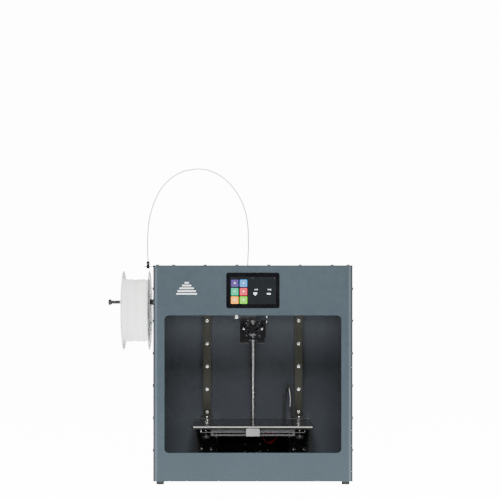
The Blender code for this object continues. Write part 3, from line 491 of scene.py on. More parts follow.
def add_wire(form, route, radius, sides=8):
    """A round wire along a route of points."""
    rings, side = [], Vector((0.31, 0.87, 0.38)).normalized()
    for i, point in enumerate(route):
        ahead = (route[min(i + 1, len(route) - 1)] - route[max(i - 1, 0)]).normalized()
        side = (side - ahead * side.dot(ahead)).normalized()
        up = ahead.cross(side)
        rings.append([point + radius * (c * side + s * up) for c, s in compass(sides)])
    skin(form, rings)


def rounded_outline(low_u, high_u, low_v, high_v, radius, steps=6):
    """A rectangle with round corners, anticlockwise."""
    points = []
    for u, v, start in ((high_u - radius, low_v + radius, -90), (high_u - radius, high_v - radius, 0),
                        (low_u + radius, high_v - radius, 90), (low_u + radius, low_v + radius, 180)):
        for i in range(steps + 1):
            angle = math.radians(start + 90 * i / steps)
            points.append((u + radius * math.cos(angle), v + radius * math.sin(angle)))
    return points


def smooth_route(points, spacing):
    """Points along a Catmull-Rom curve through the route, about spacing apart."""
    route = [Vector(p) for p in points]
    route = [2 * route[0] - route[1]] + route + [2 * route[-1] - route[-2]]
    smooth = []
    for a, b, c, d in zip(route, route[1:], route[2:], route[3:]):
        steps = max(1, round((c - b).length / spacing))
        for i in range(steps):
            t = i / steps
            smooth.append(0.5 * (2 * b + (c - a) * t + (2 * a - 5 * b + 4 * c - d) * t ** 2
                                 + (3 * b - a - 3 * c + d) * t ** 3))
    return smooth + [route[-2]]


def mirrored(*boxes):
    """Boxes, each as two opposite corners, and their mirror images on the body's other side."""
    return [((sign * x, y, z), (sign * u, v, w)) for sign in (-1, 1) for (x, y, z), (u, v, w) in boxes]


def boxes_piece(name, look, body, boxes, **finish):
    form = bmesh.new()
    for corner, opposite in boxes:
        add_box(form, corner, opposite)
    return piece(name, form, look, body, **finish)


def turned_piece(name, look, body, profile, places, axis, sides, **finish):
    """One piece of equal turned forms, each at its own place."""
    form = bmesh.new()
    for place in places:
        add_turned(form, profile, place, axis, sides)
    return piece(name, form, look, body, **finish)


def plates_piece(name, look, body, outlines, front_y, thickness, **finish):
    form = bmesh.new()
    for outline in outlines:
        add_plate(form, outline, front_y, thickness)
    return piece(name, form, look, body, smooth=False, **finish)


def wires_piece(name, look, body, routes, radius, sides=8):
    form = bmesh.new()
    for route in routes:
        add_wire(form, route, radius, sides)
    return piece(name, form, look, body)


def screws(name, places, axis, body, look, radius, height):
    form = bmesh.new()
    for place in places:
        add_screw(form, place, axis, radius, height)
    return piece(name, form, look, body)


# --- cords ---
FEED_RISE = ((-0.2635, 0.5383), (-0.2648, 0.566), (-0.2648, 0.5919), (-0.2616, 0.637), (-0.2503, 0.6821),
             (-0.2303, 0.7225), (-0.2055, 0.7485), (-0.1763, 0.7655), (-0.1406, 0.7725))
FEED_FALL = ((-0.14, 0.7725), (-0.1134, 0.7695), (-0.0865, 0.7581), (-0.0641, 0.7413), (-0.0416, 0.7145),
             (-0.0258, 0.6851), (-0.0157, 0.6515), (-0.0116, 0.6109), (-0.0115, 0.5703), (-0.0132, 0.5341),
             (-0.014, 0.5), (-0.014, 0.4706))
BED_LOOP = ((0.083, 0.1126), (0.0826, 0.14), (0.0826, 0.175), (0.0845, 0.201), (0.089, 0.216),
            (0.0945, 0.217), (0.099, 0.204), (0.1012, 0.18), (0.102, 0.155), (0.102, 0.1356))
TUBE_DIAMETER, CABLE_DIAMETER = 0.004, 0.005
SPOOL_Y = -0.02
BED_LOOP_Y = 0.14


def feed_route(points):
    """The feed tube leans back from the side fitting to the print head as it goes across."""
    start, end = FEED_RISE[0][0], FEED_FALL[-1][0]
    return [at(x, SPOOL_Y * min(1, max(0, (end - x) / (end - start))), z) for x, z in points]


def make_cord(name, route, diameter, look, node, slot, *bodies):
    """A cord in a CAD node's place, which rides on one body or is drawn out between two."""
    form = bmesh.new()
    add_wire(form, route, diameter / 2, 12)
    cord = piece(name, form, look, sharp=50)
    if len(bodies) == 1:
        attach(cord, *bodies)
    else:
        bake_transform(cord)
    stand_in(cord, node)


def make_cords():
    rise = smooth_route(feed_route(FEED_RISE), 0.008)
    fall = smooth_route(feed_route(FEED_FALL), 0.008)
    loop = smooth_route([at(x, BED_LOOP_Y, z) for x, z in BED_LOOP], 0.004)
    tube = (TUBE_DIAMETER, "tube")
    make_cord("feed_tube_from_side", rise, *tube, "feed_tube_rise", "feed_tube", "frame", "gantry")
    make_cord("feed_tube_to_head", fall, *tube, "feed_tube_fall", "feed_tube", "gantry", "carriage")
    make_cord("heater_cable", loop, CABLE_DIAMETER, "cable", "bed_cable", "cable", "bed")


# --- body details ---
SCREW_PITCH = 0.0775
SEAM_Y, SEAM_HALF = 0.2059, 0.00028
PROUD = 0.0002                    # how far the folds' painted highlight and shade bands stand out


def make_body_screws():
    head = ("frame", "zinc", 0.0042, 0.0024)
    for side, sign in (("left", -1), ("right", 1)):
        places = [at(sign * HALF_WIDTH, y, 0.081 + row * SCREW_PITCH)
                  for row in range(6) for y in (-0.1957, 0.1957)]
        screws(side + "_panel_screws", places, (sign, 0, 0), *head)
    columns = [sign * x for x in (0.038, 0.114, 0.19, 0.228) for sign in (-1, 1)]
    screws("top_rim_screws", [at(x, y, TOP_Z) for x in columns for y in (-0.206, 0.206)], UP, *head)
    places = [at(x, 0.22, z) for z in (0.04, 0.15, 0.3, 0.48) for x in (-0.224, 0.224)]
    screws("rear_panel_screws", places, TO_BACK, *head)


def make_mark():
    """A plain printed emblem: a stack of layers, each shorter than the one below."""
    outlines = []
    for row, width in enumerate((0.05, 0.044, 0.034, 0.022, 0.01)):
        low = 0.4545 + row * 0.0066
        outlines.append(rounded_outline(-0.158 - width / 2, -0.158 + width / 2, low, low + 0.0032, 0.0016))
    plates_piece("printed_mark", "mark", "frame", outlines, FRONT_Y - 0.00012, 0.0002)


def make_edges():
    """Seams where the side sheets meet the folds, a painted highlight band and a painted shade band on each
    of the front's edges, and a painted shade line along the top rim, standing in for light and shade on the
    rounded folds.
    """
    seams = [((HALF_WIDTH - 0.0012, y - SEAM_HALF, 0.008), (HALF_WIDTH + 0.00002, y + SEAM_HALF, 0.5225))
             for y in (-SEAM_Y, SEAM_Y)]
    boxes_piece("sheet_seams", "rubber", "frame", mirrored(*seams), smooth=False)
    near, far = FRONT_Y - PROUD, FRONT_Y + PROUD
    # The lighter bands are painted highlight and the darker bands are painted shade, where the front sheet
    # folds round.
    for name, look, inner, outer in (("front_fold_painted_highlights", "fold_painted_highlight", 0.0105, 0.005),
                                     ("front_fold_painted_shades", "fold_painted_shade", 0.0048, 0.0004)):
        band = ((HALF_WIDTH - inner, near, 0.0085), (HALF_WIDTH - outer, far, 0.5222))
        boxes_piece(name, look, "frame", mirrored(band), bevel=0.00015)
    # The dark line along the top rim is painted shade on its fold.
    half = HALF_WIDTH - 0.0004
    boxes_piece("front_rim_painted_shade", "fold_painted_shade", "frame", [((-half, near, 0.5224), (half, far, 0.5248))],
                bevel=0.00015)


# --- display ---
TILE = 0.0172
TILE_COLUMNS = (-0.0433, -0.0224)
TILE_ROWS = (0.4812, 0.4611, 0.4411)
SYMBOL_SCALE = 0.6
INK = 0.00006


def rectangle(low_u, high_u, low_v, high_v):
    return [(low_u, low_v), (high_u, low_v), (high_u, high_v), (low_u, high_v)]


def tile_symbols():
    """Outlines of six plain symbols: an arrow, a drop, a ring, a bar chart, a house and a disc."""
    dash = ((0.0034, -0.0008), (0.0034, 0.0008), (0.002, 0.0008), (0.002, -0.0008))
    bars = [(-0.0036 + i * 0.0026, tall) for i, tall in enumerate((0.003, 0.0055, 0.0042))]
    return (
        [rectangle(-0.0035, 0.0035, -0.003, -0.0015), [(-0.0025, 0), (0.0025, 0), (0, 0.0038)]],
        [[(0.0028 * c, 0.0028 * s - 0.0008) for c, s in compass(12)],
         [(-0.0016, 0.0012), (0.0016, 0.0012), (0, 0.0044)]],
        [[(u * c - v * s, u * s + v * c) for u, v in dash] for c, s in compass(8)],
        [rectangle(low, low + 0.0018, -0.003, tall - 0.003) for low, tall in bars],
        [rectangle(-0.0028, 0.0028, -0.003, 0.0004), [(-0.004, 0.0009), (0.004, 0.0009), (0, 0.0042)]],
        [[(0.003 * c, 0.003 * s) for c, s in compass(16)]])


def make_display():
    """Screen, six menu tiles with plain symbols, two status readings and two small status marks."""
    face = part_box("display_glass")[0][1] - 0.00015
    front = face - 0.00018
    screen = rounded_outline(-0.055, 0.0553, 0.4313, 0.4967, 0.0015)
    plates_piece("screen", "screen", "frame", [screen], face, 0.0001)
    half = TILE / 2
    marks = []
    for i, (look, symbol) in enumerate(zip(TILE_COLOURS, tile_symbols())):
        x, z = TILE_COLUMNS[i % 2], TILE_ROWS[i // 2]
        tile = rounded_outline(x - half, x + half, z - half, z + half, 0.0012, 3)
        plates_piece("tile_" + look, look, "frame", [tile], face - 0.0001, 0.00008)
        marks += [[(x + SYMBOL_SCALE * u, z + 0.001 + SYMBOL_SCALE * v) for u, v in outline]
                  for outline in symbol]
    marks.append([(0.0015, 0.4595), (0.0095, 0.4595), (0.0095, 0.456), (0.0055, 0.452), (0.0015, 0.456)])
    marks.append(rounded_outline(0.0335, 0.0425, 0.4545, 0.4578, 0.0015, 4))
    for x in (0.004, 0.036):
        for low in (x, x + 0.0028, x + 0.0056):
            marks.append(rounded_outline(low, low + 0.0012, 0.465, 0.4675, 0.0004, 2))
    plates_piece("screen_symbols", "screen_white", "frame", marks, front, INK)
    marks = [rounded_outline(x - 0.0015, x + 0.0015, 0.4925, 0.494, 0.0006, 2) for x in (-0.0005, 0.0515)]
    plates_piece("screen_status_marks", "screen_grey", "frame", marks, front, INK)


# --- spool ---
SPOOL_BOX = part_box("spool")
SPOOL_CENTRE = (SPOOL_BOX[0] + SPOOL_BOX[1]) / 2
SPOOL_HALF = (SPOOL_BOX[1][0] - SPOOL_BOX[0][0]) / 2
SPOOL_RIM, SPOOL_BORE = 0.0998, 0.0262
RIB_LOW, RIB_HIGH = 0.036, 0.094
FILAMENT = 0.00175
WINDING_CORE = 0.031


def make_spool():
    """Clear flanges with a stepped hub, rim beads and six ribs each."""
    half, rim = SPOOL_HALF, SPOOL_RIM
    face = [(SPOOL_BORE, half), (0.029, half), (0.0296, half - 0.0006), (0.034, half - 0.0006),
            (0.0346, half - 0.0012), (rim - 0.005, half - 0.0012), (rim - 0.0044, half - 0.0002),
            (rim - 0.001, half - 0.0002), (rim, half - 0.001), (rim, half - 0.002),
            (rim - 0.001, half - 0.0028), (rim - 0.0044, half - 0.0028), (rim - 0.005, half - 0.0022),
            (0.031, half - 0.0026), (0.0302, half - 0.0034)]
    profile = face + [(radius, -height) for radius, height in reversed(face)]
    spool = turned_piece("spool_clear", "clear", "spool", profile, [SPOOL_CENTRE], ALONG_X, 96)
    stand_in(spool, "spool")
    for name, sign in (("outer", -1), ("inner", 1)):
        form = bmesh.new()
        middle = Matrix.Translation((sign * (half - 0.0007), 0, (RIB_LOW + RIB_HIGH) / 2))
        for i in range(6):
            turn = Matrix.Translation(SPOOL_CENTRE) @ Matrix.Rotation(math.pi * i / 3, 4, "X")
            add_cube(form, turn @ middle, (0.0012, 0.0022, RIB_HIGH - RIB_LOW))
        piece("spool_ribs_" + name, form, "clear", "spool", bevel=0.0003)


def make_winding():
    """Wound filament: one rounded ridge for every turn, with a few turns that ride up on others."""
    low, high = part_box("filament_winding")
    half, outer = (high.x - low.x) / 2, (high.z - low.z) / 2
    turns, steps = int(2 * half / FILAMENT), 6
    rings = int((outer - 0.003 - WINDING_CORE) / FILAMENT) * 2
    side = [(WINDING_CORE + i * FILAMENT / 2, half - (0.0007 if i % 2 else 0.0)) for i in range(rings)]
    profile = [(radius, -height) for radius, height in side]
    for i in range(turns * steps + 1):
        ridge = abs(math.sin(math.pi * i / steps))
        sag = 0.0012 * math.sin(0.55 * (i // steps)) * math.sin(1.7 + 0.21 * (i // steps))
        radius = outer - 0.0016 - 0.0007 * (1 - ridge) + sag
        profile.append((radius, -half + 2 * half * i / (turns * steps)))
    profile += reversed(side)
    winding = turned_piece("wound_filament", "filament", "spool", profile, [SPOOL_CENTRE], ALONG_X, 96)
    stand_in(winding, "filament_winding")


# --- drives ---
THREAD_LOW = 0.069
THREAD_ROOT, THREAD_DEPTH = 0.0033, 0.00068
THREAD_LEAD, THREAD_STARTS, THREAD_STEP = 0.008, 4, 0.00025
COUPLER = ((0, 0.0483), (0.0072, 0.0483), (0.008, 0.049), (0.008, 0.057), (0.0074, 0.0574),
           (0.0074, 0.058), (0.008, 0.0584), (0.008, 0.0592), (0.0074, 0.0596), (0.0074, 0.0602),
           (0.008, 0.0606), (0.008, 0.0674), (0.0072, 0.0682), (0.0042, 0.0682), (0.0042, 0.07),
           (0, 0.07))


def make_rail_screws():
    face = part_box("z_rail_left")[0][1]
    places = [at(x, face, 0.3886 - row * 0.06) for x in (-0.12, 0.12) for row in range(6)]
    screws("z_rail_screws", places, TO_FRONT, "frame", "screw", 0.0036, 0.00015)
    lip = [(0.004, 0.0), (0.0048, 0.0), (0.0048, 0.00015), (0.004, 0.00015)]
    turned_piece("z_rail_counterbores", "dark_screw", "frame", lip, places, TO_FRONT, 24)


def make_lead_screw():
    """A four-start trapezoidal thread above a clamped coupler."""
    low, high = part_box("lead_screw")
    centre = (low + high) / 2
    top = high.z - 0.001
    rows, sides = int((top - THREAD_LOW) / THREAD_STEP), 24
    rings = []
    for row in range(rows + 1):
        z = THREAD_LOW + (top - THREAD_LOW) * row / rows
        ring = []
        for i, (c, s) in enumerate(compass(sides)):
            phase = (z / THREAD_LEAD - i / sides) * THREAD_STARTS % 1.0
            wave = min(1.0, max(0.0, 0.5 + 1.5 * math.cos(2 * math.pi * phase)))
            radius = THREAD_ROOT + THREAD_DEPTH * wave
            ring.append((centre.x + radius * c, centre.y + radius * s, z))
        rings.append(ring)
    form = bmesh.new()
    skin(form, rings)
    stand_in(piece("lead_screw_thread", form, "steel", "lead_screw"), "lead_screw")
    axis = (centre.x, centre.y, 0)
    turned_piece("lead_screw_coupler", "aluminium", "lead_screw", COUPLER, [axis], UP, 40)
    places = [(centre.x, centre.y - 0.0078, z) for z in (0.0525, 0.0645)]
    screws("coupler_screws", places, TO_FRONT, "lead_screw", "dark_screw", 0.0018, 0.0006)


def across(index, level, u, v):
    """A point at a level on one axis, with u and v on the other two."""
    point = [u, v]
    point.insert(index, level)
    return point


def make_motor(node, body, index, shaft_side, box):
    """A stepper motor: laminated black middle between two cast end caps, and four screws."""
    low, high = box
    u, v = [i for i in range(3) if i != index]
    centre, half = (low + high) / 2, (high - low) / 2
    length = high[index] - low[index]
    cap = min(0.009, length * 0.28)

    def add_slab(form, start, end, inset):
        outline = rounded_outline(inset - half[u], half[u] - inset, inset - half[v], half[v] - inset,
                                  0.0045, 4)
        skin(form, [[across(index, level, centre[u] + a, centre[v] + b) for a, b in outline]
                    for level in (start, end)])

    middle = bmesh.new()
    layer = (length - 2 * cap) / 8
    for i in range(8):
        start = low[index] + cap + i * layer
        add_slab(middle, start, start + layer * 0.86, 0.0006)
        add_slab(middle, start + layer * 0.86, start + layer, 0.001)
    piece(node + "_laminations", middle, "black", body, smooth=False)
    caps = bmesh.new()
    add_slab(caps, low[index], low[index] + cap, 0.0002)
    add_slab(caps, high[index] - cap, high[index], 0.0002)
    shell = piece(node + "_end_caps", caps, "aluminium", body, bevel=0.0004)
    level = high[index] if shaft_side > 0 else low[index]
    places = [across(index, level, centre[u] + a, centre[v] + b)
              for a in (-0.0155, 0.0155) for b in (-0.0155, 0.0155)]
    screws(node + "_screws", places, across(index, shaft_side, 0, 0), body, "dark_screw", 0.0024, 0.0012)
    stand_in(shell, node)


# --- print head, which is in the body's middle at rest ---
FAN_Z = 0.369
FAN_MIDDLE_Y = -0.04
FAN_FRAME_HALF, FAN_FRAME_CORNER, FAN_BORE = 0.0198, 0.0262, 0.0183
HOT_END_X = -0.014


def make_head_cover():
    """Ribbed side cheeks, the front's edges and the ears that carry its two screws."""
    ribs = [((0.0316, -0.028, z), (0.0326, 0.008, z + 0.003))
            for z in (0.353, 0.36, 0.367, 0.374, 0.381)]
    boxes = mirrored(((0.0298, -0.034, 0.3475), (0.0318, 0.015, 0.3915)),
                     ((0.0205, -0.0355, 0.3475), (0.0318, -0.0335, 0.3915)),
                     ((0.019, -0.042, 0.364), (0.028, -0.0355, 0.376)), *ribs)
    cover = boxes_piece("head_cover_shell", "matte_black", "carriage", boxes, bevel=0.0006)
    stand_in(cover, "head_cover")


def make_head_screws():
    """Two screws in the cover's ears and two on its right cheek."""
    ears = [at(x, -0.042, 0.37) for x in (-0.0226, 0.0226)]
    screws("head_front_screws", ears, TO_FRONT, "carriage", "screw", 0.003, 0.0018)
    side = [at(0.0345, -0.015, z) for z in (0.387, 0.399)]
    screws("head_side_screws", side, (0.35, -1, 0), "carriage", "screw", 0.0026, 0.0018)


def make_fan():
    """Square housing with a round bore, wire guard, four screws and a rotor with seven blades."""
    directions = compass(48, math.pi / 48)
    outer = [min(FAN_FRAME_HALF / max(abs(c), abs(s)), FAN_FRAME_CORNER) for c, s in directions]
    inner = [FAN_BORE] * len(outer)
    form = bmesh.new()
    skin(form, [[at(r * c, y, FAN_Z + r * s) for r, (c, s) in zip(radii, directions)]
                for y, radii in ((-0.0458, outer), (-0.0458, inner), (-0.036, inner), (-0.036, outer))],
         loop=True)
    piece("fan_housing", form, "matte_black", "carriage", bevel=0.0003)
    form = bmesh.new()
    for radius in (0.006, 0.0105, 0.015):
        add_ring(form, at(0, -0.0464, FAN_Z), TO_BACK, radius, 0.0005)
    for i in range(4):
        turn = Matrix.Rotation(math.pi / 4 + math.pi * i / 2, 4, "Y")
        turn = Matrix.Translation(at(0, -0.0462, FAN_Z)) @ turn
        add_cube(form, turn @ Matrix.Translation((0.012, 0, 0)), (0.021, 0.001, 0.001))
    piece("fan_guard", form, "black", "carriage")
    corners = [at(u, -0.046, FAN_Z + v) for u in (-0.016, 0.016) for v in (-0.016, 0.016)]
    screws("fan_screws", corners, TO_FRONT, "carriage", "dark_screw", 0.0018, 0.001)
    form = bmesh.new()
    centre = at(0, FAN_MIDDLE_Y, FAN_Z)
    hub = [(0, -0.004), (0.0082, -0.004), (0.0088, -0.0034), (0.0088, 0.004), (0, 0.004)]
    add_turned(form, hub, centre, TO_BACK, 40)
    for i in range(7):
        add_blade(form, centre, 2 * math.pi * i / 7)
    rotor = piece("fan_rotor_blades", form, "matte_black", "fan_rotor")
    stand_in(rotor, "fan_rotor")


def add_blade(form, centre, angle):
    """One twisted and swept fan blade."""
    columns, front, back = 6, [], []
    half_thickness = Vector((0, 0.00035, 0))
    for i in range(columns + 1):
        share = i / columns
        radius = 0.0085 + 0.0088 * share
        chord = math.radians(34 + 16 * share)
        for edge in (-1, 1):
            turn = angle + 0.35 * share + edge * 0.0048 * math.sin(chord) / radius
            depth = edge * 0.0034 * math.cos(chord)
            point = centre + Vector((radius * math.cos(turn), depth, radius * math.sin(turn)))
            front.append(form.verts.new(point - half_thickness))
            back.append(form.verts.new(point + half_thickness))
    for i in range(columns):
        a, b, c, d = 2 * i, 2 * i + 1, 2 * i + 3, 2 * i + 2
        for side in (front, back):
            form.faces.new((side[a], side[b], side[c], side[d]))
        for low, high in ((a, d), (b, c)):
            form.faces.new((front[low], front[high], back[high], back[low]))
    for low, high in ((0, 1), (2 * columns, 2 * columns + 1)):
        form.faces.new((front[low], front[high], back[high], back[low]))


def make_air_duct():
    """Two feet that blow at the nozzle, narrowing to a slot, joined by a cross channel."""
    form = bmesh.new()
    for low, high in ((-0.0324, -0.0096), (0.0112, 0.0294)):
        rings = []
        for front_y, back_y, front_z, back_z in ((-0.0338, -0.0105, 0.3474, 0.3474),
                                                 (-0.0342, -0.0105, 0.342, 0.34),
                                                 (-0.0335, -0.0125, 0.3345, 0.3345)):
            rings.append([at(low, front_y, front_z), at(high, front_y, front_z),
                          at(high, back_y, back_z), at(low, back_y, back_z)])
        skin(form, rings)
    add_box(form, (-0.01, -0.0335, 0.343), (0.0115, -0.011, 0.347))
    piece("air_duct_fork", form, "matte_black", "carriage", bevel=0.0007)
    lips = [((low, -0.0343, 0.334), (high, -0.033, 0.3347))
            for low, high in ((-0.0318, -0.0102), (0.0118, 0.0288))]
    boxes_piece("air_duct_lips", "grey_aluminium", "carriage", lips, bevel=0.0002)


def make_tension_knob():
    """Knurled thumb screw that sets the pressure on the filament."""
    centre = at(-0.0412, -0.012, 0.399)
    knurl = [(k * c, k * s) for k, (c, s) in zip((1, 1.05) * 24, compass(48))]
    form = bmesh.new()
    skin(form, [[centre + Vector((height, radius * u, radius * v)) for u, v in knurl]
                for radius, height in ((0.0036, -0.004), (0.0048, -0.0034), (0.0048, 0.0034),
                                       (0.0036, 0.004))])
    piece("tension_knob", form, "screw", "carriage")
    rod = [(0, -0.006), (0.0014, -0.006), (0.0014, 0.006), (0, 0.006)]
    turned_piece("tension_screw", "dark_screw", "carriage", rod, [centre + Vector((0.006, 0, 0))],
                 ALONG_X, 16)


def make_head_bracket():
    """The light V-shaped strap above the fan, the plate below it and the fan's two leads."""
    strap = [(-0.0066, 0.39), (0.0066, 0.39), (0.0066, 0.388), (0.003, 0.385), (0.0026, 0.3815),
             (-0.001, 0.3815), (-0.0024, 0.385), (-0.0066, 0.388)]
    plates_piece("fan_strap", "grey_aluminium", "carriage", [strap], -0.0472, 0.0008, bevel=0.0002)
    clip = rounded_outline(-0.0065, 0.0065, 0.3525, 0.3575, 0.0012, 4)
    plates_piece("fan_clip", "grey_aluminium", "carriage", [clip], -0.047, 0.0008, bevel=0.0002)
    routes = []
    for x, z in ((0.024, 0.389), (0.028, 0.3895)):
        route = [at(x, -0.03, z), at(x + 0.003, -0.036, z - 0.006), at(x + 0.004, -0.0365, z - 0.016),
                 at(x + 0.001, -0.034, z - 0.026)]
        routes.append(smooth_route(route, 0.002))
    wires_piece("fan_leads", "rubber", "carriage", routes, 0.0009)


def make_hot_end():
    """Finned heat sink, heater block and nozzle."""
    base = at(HOT_END_X, 0, 0)
    profile = [(0, 0.352), (0.003, 0.352), (0.003, 0.3545)]
    fin = ((0.005, 0), (0.0106, 0), (0.0109, 0.0003), (0.0109, 0.0011), (0.0106, 0.0014), (0.005, 0.0014))
    for i in range(9):
        profile += [(radius, 0.355 + i * 0.0038 + height) for radius, height in fin]
    profile += [(0.0058, 0.39), (0.0058, 0.3915), (0, 0.3915)]
    sink = turned_piece("heat_sink", "aluminium", "carriage", profile, [base], UP, 40)
    stand_in(sink, "hot_end")
    block = ((HOT_END_X - 0.009, -0.007, 0.3395), (HOT_END_X + 0.011, 0.01, 0.3498))
    boxes_piece("heater_block", "grey_aluminium", "carriage", [block], bevel=0.0008)
    tip = [(0, 0.333), (0.0005, 0.333), (0.0011, 0.3336), (0.0026, 0.3362), (0.0032, 0.3366),
           (0.0032, 0.3396), (0, 0.3396)]
    turned_piece("nozzle", "brass", "carriage", tip, [base], UP, 6, smooth=False)


def make_carriage_details():
    low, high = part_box("extruder_motor")
    make_motor("extruder_motor", "carriage", 1, -1, (low, Vector((high.x, low.y + 0.025, high.z))))
    post = [(0, -0.0315), (0.0021, -0.0315), (0.0021, -0.0202), (0, -0.0202)]
    places = [at(u, 0, z) for u in (-0.0175, 0.0065) for z in (0.4135, 0.4445)]
    turned_piece("extruder_posts", "steel", "carriage", post, places, TO_BACK, 16)
    head = ("carriage", "dark_screw", 0.0028, 0.0018)
    places = [at(u, 0.016, z) for u in (-0.028, 0.028) for z in (0.412, 0.44, 0.47, 0.492)]
    screws("carriage_plate_screws", places, TO_FRONT, *head)
    places = [at(u, v, 0.5023) for u in (-0.016, 0.016) for v in (0.034, 0.052)]
    screws("slider_screws", places, UP, *head)


# --- bed details ---
BLOCK_X = 0.12                   # the bearing blocks, either side
LEVEL_POINTS = {"left": (-0.115, -0.105), "right": (0.115, -0.105), "rear": (0.0, 0.095)}
WHEEL = ((0.01, 0.1), (0.0118, 0.1006), (0.0125, 0.1016), (0.0125, 0.1084), (0.0118, 0.1094),
         (0.01, 0.11), (0.005, 0.11), (0.0046, 0.112), (0.0015, 0.1122), (0.0015, 0.1245))
SPRING_LOW, SPRING_RISE, SPRING_RADIUS, SPRING_TURNS = 0.1189, 0.0054, 0.0036, 4


def make_bed_screws():
    places = [at(x, 0.129, z) for z in (0.0542, 0.1) for x in (-0.135, -0.109, 0.107, 0.133)]
    screws("bed_arm_screws", places, TO_FRONT, "bed", "screw", 0.005, 0.0028)
    places = [at(x, 0.1333, 0.136) for x in (-BLOCK_X, BLOCK_X)]
    screws("z_block_screws", places, TO_FRONT, "bed", "screw", 0.0028, 0.0014)
    places = [at(x, 0.114, z) for x in (-0.02, 0.019) for z in (0.0675, 0.049)]
    places.append(at(0.039, 0.114, 0.052))
    screws("crossmember_screws", places, TO_FRONT, "bed", "dark_screw", 0.0034, 0.0022)


def make_arm_edges():
    """Bright raw edges of the bed's side plates, and wipers on the bearing blocks."""
    edges = mirrored(((0.0878, 0.1262, 0.05), (0.0895, 0.1288, 0.112)))
    boxes_piece("bed_arm_edges", "aluminium", "bed", edges, bevel=0.0003)
    wipers = [((x - half, 0.1336, low), (x + half, 0.146, high)) for x in (-BLOCK_X, BLOCK_X)
              for half, low, high in ((0.0125, 0.1322, 0.1372), (0.0185, 0.1374, 0.1388),
                                      (0.028, 0.053, 0.0556))]
    boxes_piece("block_wipers", "black", "bed", wipers, bevel=0.0004)


def make_heater_leads():
    """Two red silicone leads looped under the bed, from the heater plate to the crossmember."""
    routes = []
    for shift in (0.0, 0.0042):
        route = [at(0.02, 0.06, 0.1155 - shift), at(0.03, 0.066, 0.1),
                 at(0.05, 0.07, 0.096 + shift), at(0.056 + shift, 0.074, 0.087),
                 at(0.048, 0.078, 0.078 - shift), at(0.034, 0.082, 0.077),
                 at(0.026, 0.086, 0.084 + shift), at(0.03, 0.092, 0.091),
                 at(0.042, 0.1, 0.09 + shift), at(0.048, 0.1135, 0.085 + shift)]
        routes.append(smooth_route(route, 0.003))
    wires_piece("heater_leads", "red", "bed", routes, 0.0016, 10)


def make_white_wire():
    """A thin white wire beside the heater cable's loop."""
    route = [at(0.0975, 0.1368, 0.164), at(0.0975, 0.1366, 0.18), at(0.0965, 0.1366, 0.198),
             at(0.0945, 0.1368, 0.212)]
    wires_piece("bed_white_wire", "white", "bed", [smooth_route(route, 0.004)], 0.0007)


def make_levelling():
    """Springs between the plates, and a scalloped thumb wheel on the screw below each."""
    steps, routes = 15 * SPRING_TURNS, []
    for x, y in LEVEL_POINTS.values():
        turns = compass(15) * SPRING_TURNS + [(1, 0)]
        routes.append([at(x + SPRING_RADIUS * c, y + SPRING_RADIUS * s,
                          SPRING_LOW + SPRING_RISE * i / steps) for i, (c, s) in enumerate(turns)])
    wires_piece("level_springs", "screw", "bed", routes, 0.00045, 6)
    waves = [0.975 - 0.025 * math.cos(math.pi * i / 3) for i in range(72)]
    for name, (x, y) in LEVEL_POINTS.items():
        rings = []
        for radius, height in WHEEL:
            reach = [radius * (wave if radius > 0.009 else 1) for wave in waves]
            rings.append([at(x + r * c, y + r * s, height) for r, (c, s) in zip(reach, compass(72))])
        form = bmesh.new()
        skin(form, rings)
        knob = piece("thumb_wheel_" + name, form, "black", "knob_" + name)
        stand_in(knob, "level_knob_" + name)


def make_clip():
    """The spring-steel clip at the plate's front edge: a folded strip with a raised rim."""
    form = bmesh.new()
    add_bar(form, [(-0.1344, 0.1087), (-0.1205, 0.1087), (-0.1205, 0.1098), (-0.1332, 0.11),
                   (-0.1332, 0.1264), (-0.1305, 0.1264), (-0.1305, 0.1276), (-0.1344, 0.1276)], 0.0165)
    rim = mirrored(((0.015, -0.1349, 0.1087), (0.0165, -0.1343, 0.1237)))
    for corner, opposite in [((-0.0165, -0.1349, 0.1235), (0.0165, -0.1343, 0.1276))] + rim:
        add_box(form, corner, opposite)
    clip = piece("plate_clip", form, "clip_steel", "front_clip", bevel=0.0003)
    stand_in(clip, "front_clip")


def make_plate_details():
    """Plate with ground edges, and the removable dark sheet laid into its top."""
    low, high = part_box("build_plate")
    centre = (low + high) / 2
    outline = [(u - centre.x, v - centre.y)
               for u, v in rounded_outline(low.x, high.x, low.y, high.y, 0.006, 8)]
    rings = []
    for inset, z in ((0.0004, low.z), (0.0, low.z + 0.0004), (0.0, high.z - 0.0008),
                     (0.0005, high.z - 0.0002)):
        shrink_u, shrink_v = 1 - inset / (high.x - centre.x), 1 - inset / (high.y - centre.y)
        rings.append([(centre.x + u * shrink_u, centre.y + v * shrink_v, z) for u, v in outline])
    form = bmesh.new()
    skin(form, rings)
    stand_in(piece("build_plate_core", form, "edge_steel", "bed"), "build_plate")
    form = bmesh.new()
    skin(form, [[(centre.x + u * 0.994, centre.y + v * 0.994, z) for u, v in outline]
                for z in (high.z - 0.0002, high.z)])
    piece("build_surface_film", form, "print_film", "bed", smooth=False)


def make_nut():
    x, y = at(0, 0, 0).x, 0.1405
    profile = [(0.0043, 0.1049), (0.0105, 0.1049), (0.011, 0.1054), (0.011, 0.1076), (0.0105, 0.1082),
               (0.0062, 0.1082), (0.006, 0.111), (0.0043, 0.111)]
    turned_piece("lead_nut", "brass", "bed", profile, [(x, y, 0)], UP, 40)
    places = [(x + 0.0082 * math.cos(a), y + 0.0082 * math.sin(a), 0.1082) for a in (0.8, 2.37, 3.94, 5.5)]
    screws("lead_nut_screws", places, UP, "bed", "dark_screw", 0.0013, 0.0009)


# --- motors, belts and beam ---
BELT_WIDTH, BELT_OUTER, BELT_ROOT, BELT_TIP = 0.006, 0.0071, 0.0066, 0.0062
BELT_STEP = 0.0005                # a quarter of the teeth's pitch
RAIL_HALF_SECTION = ((0.006, 0.486), (0.006, 0.488), (0.0045, 0.4893), (0.0045, 0.4907),
                     (0.006, 0.492), (0.006, 0.494))


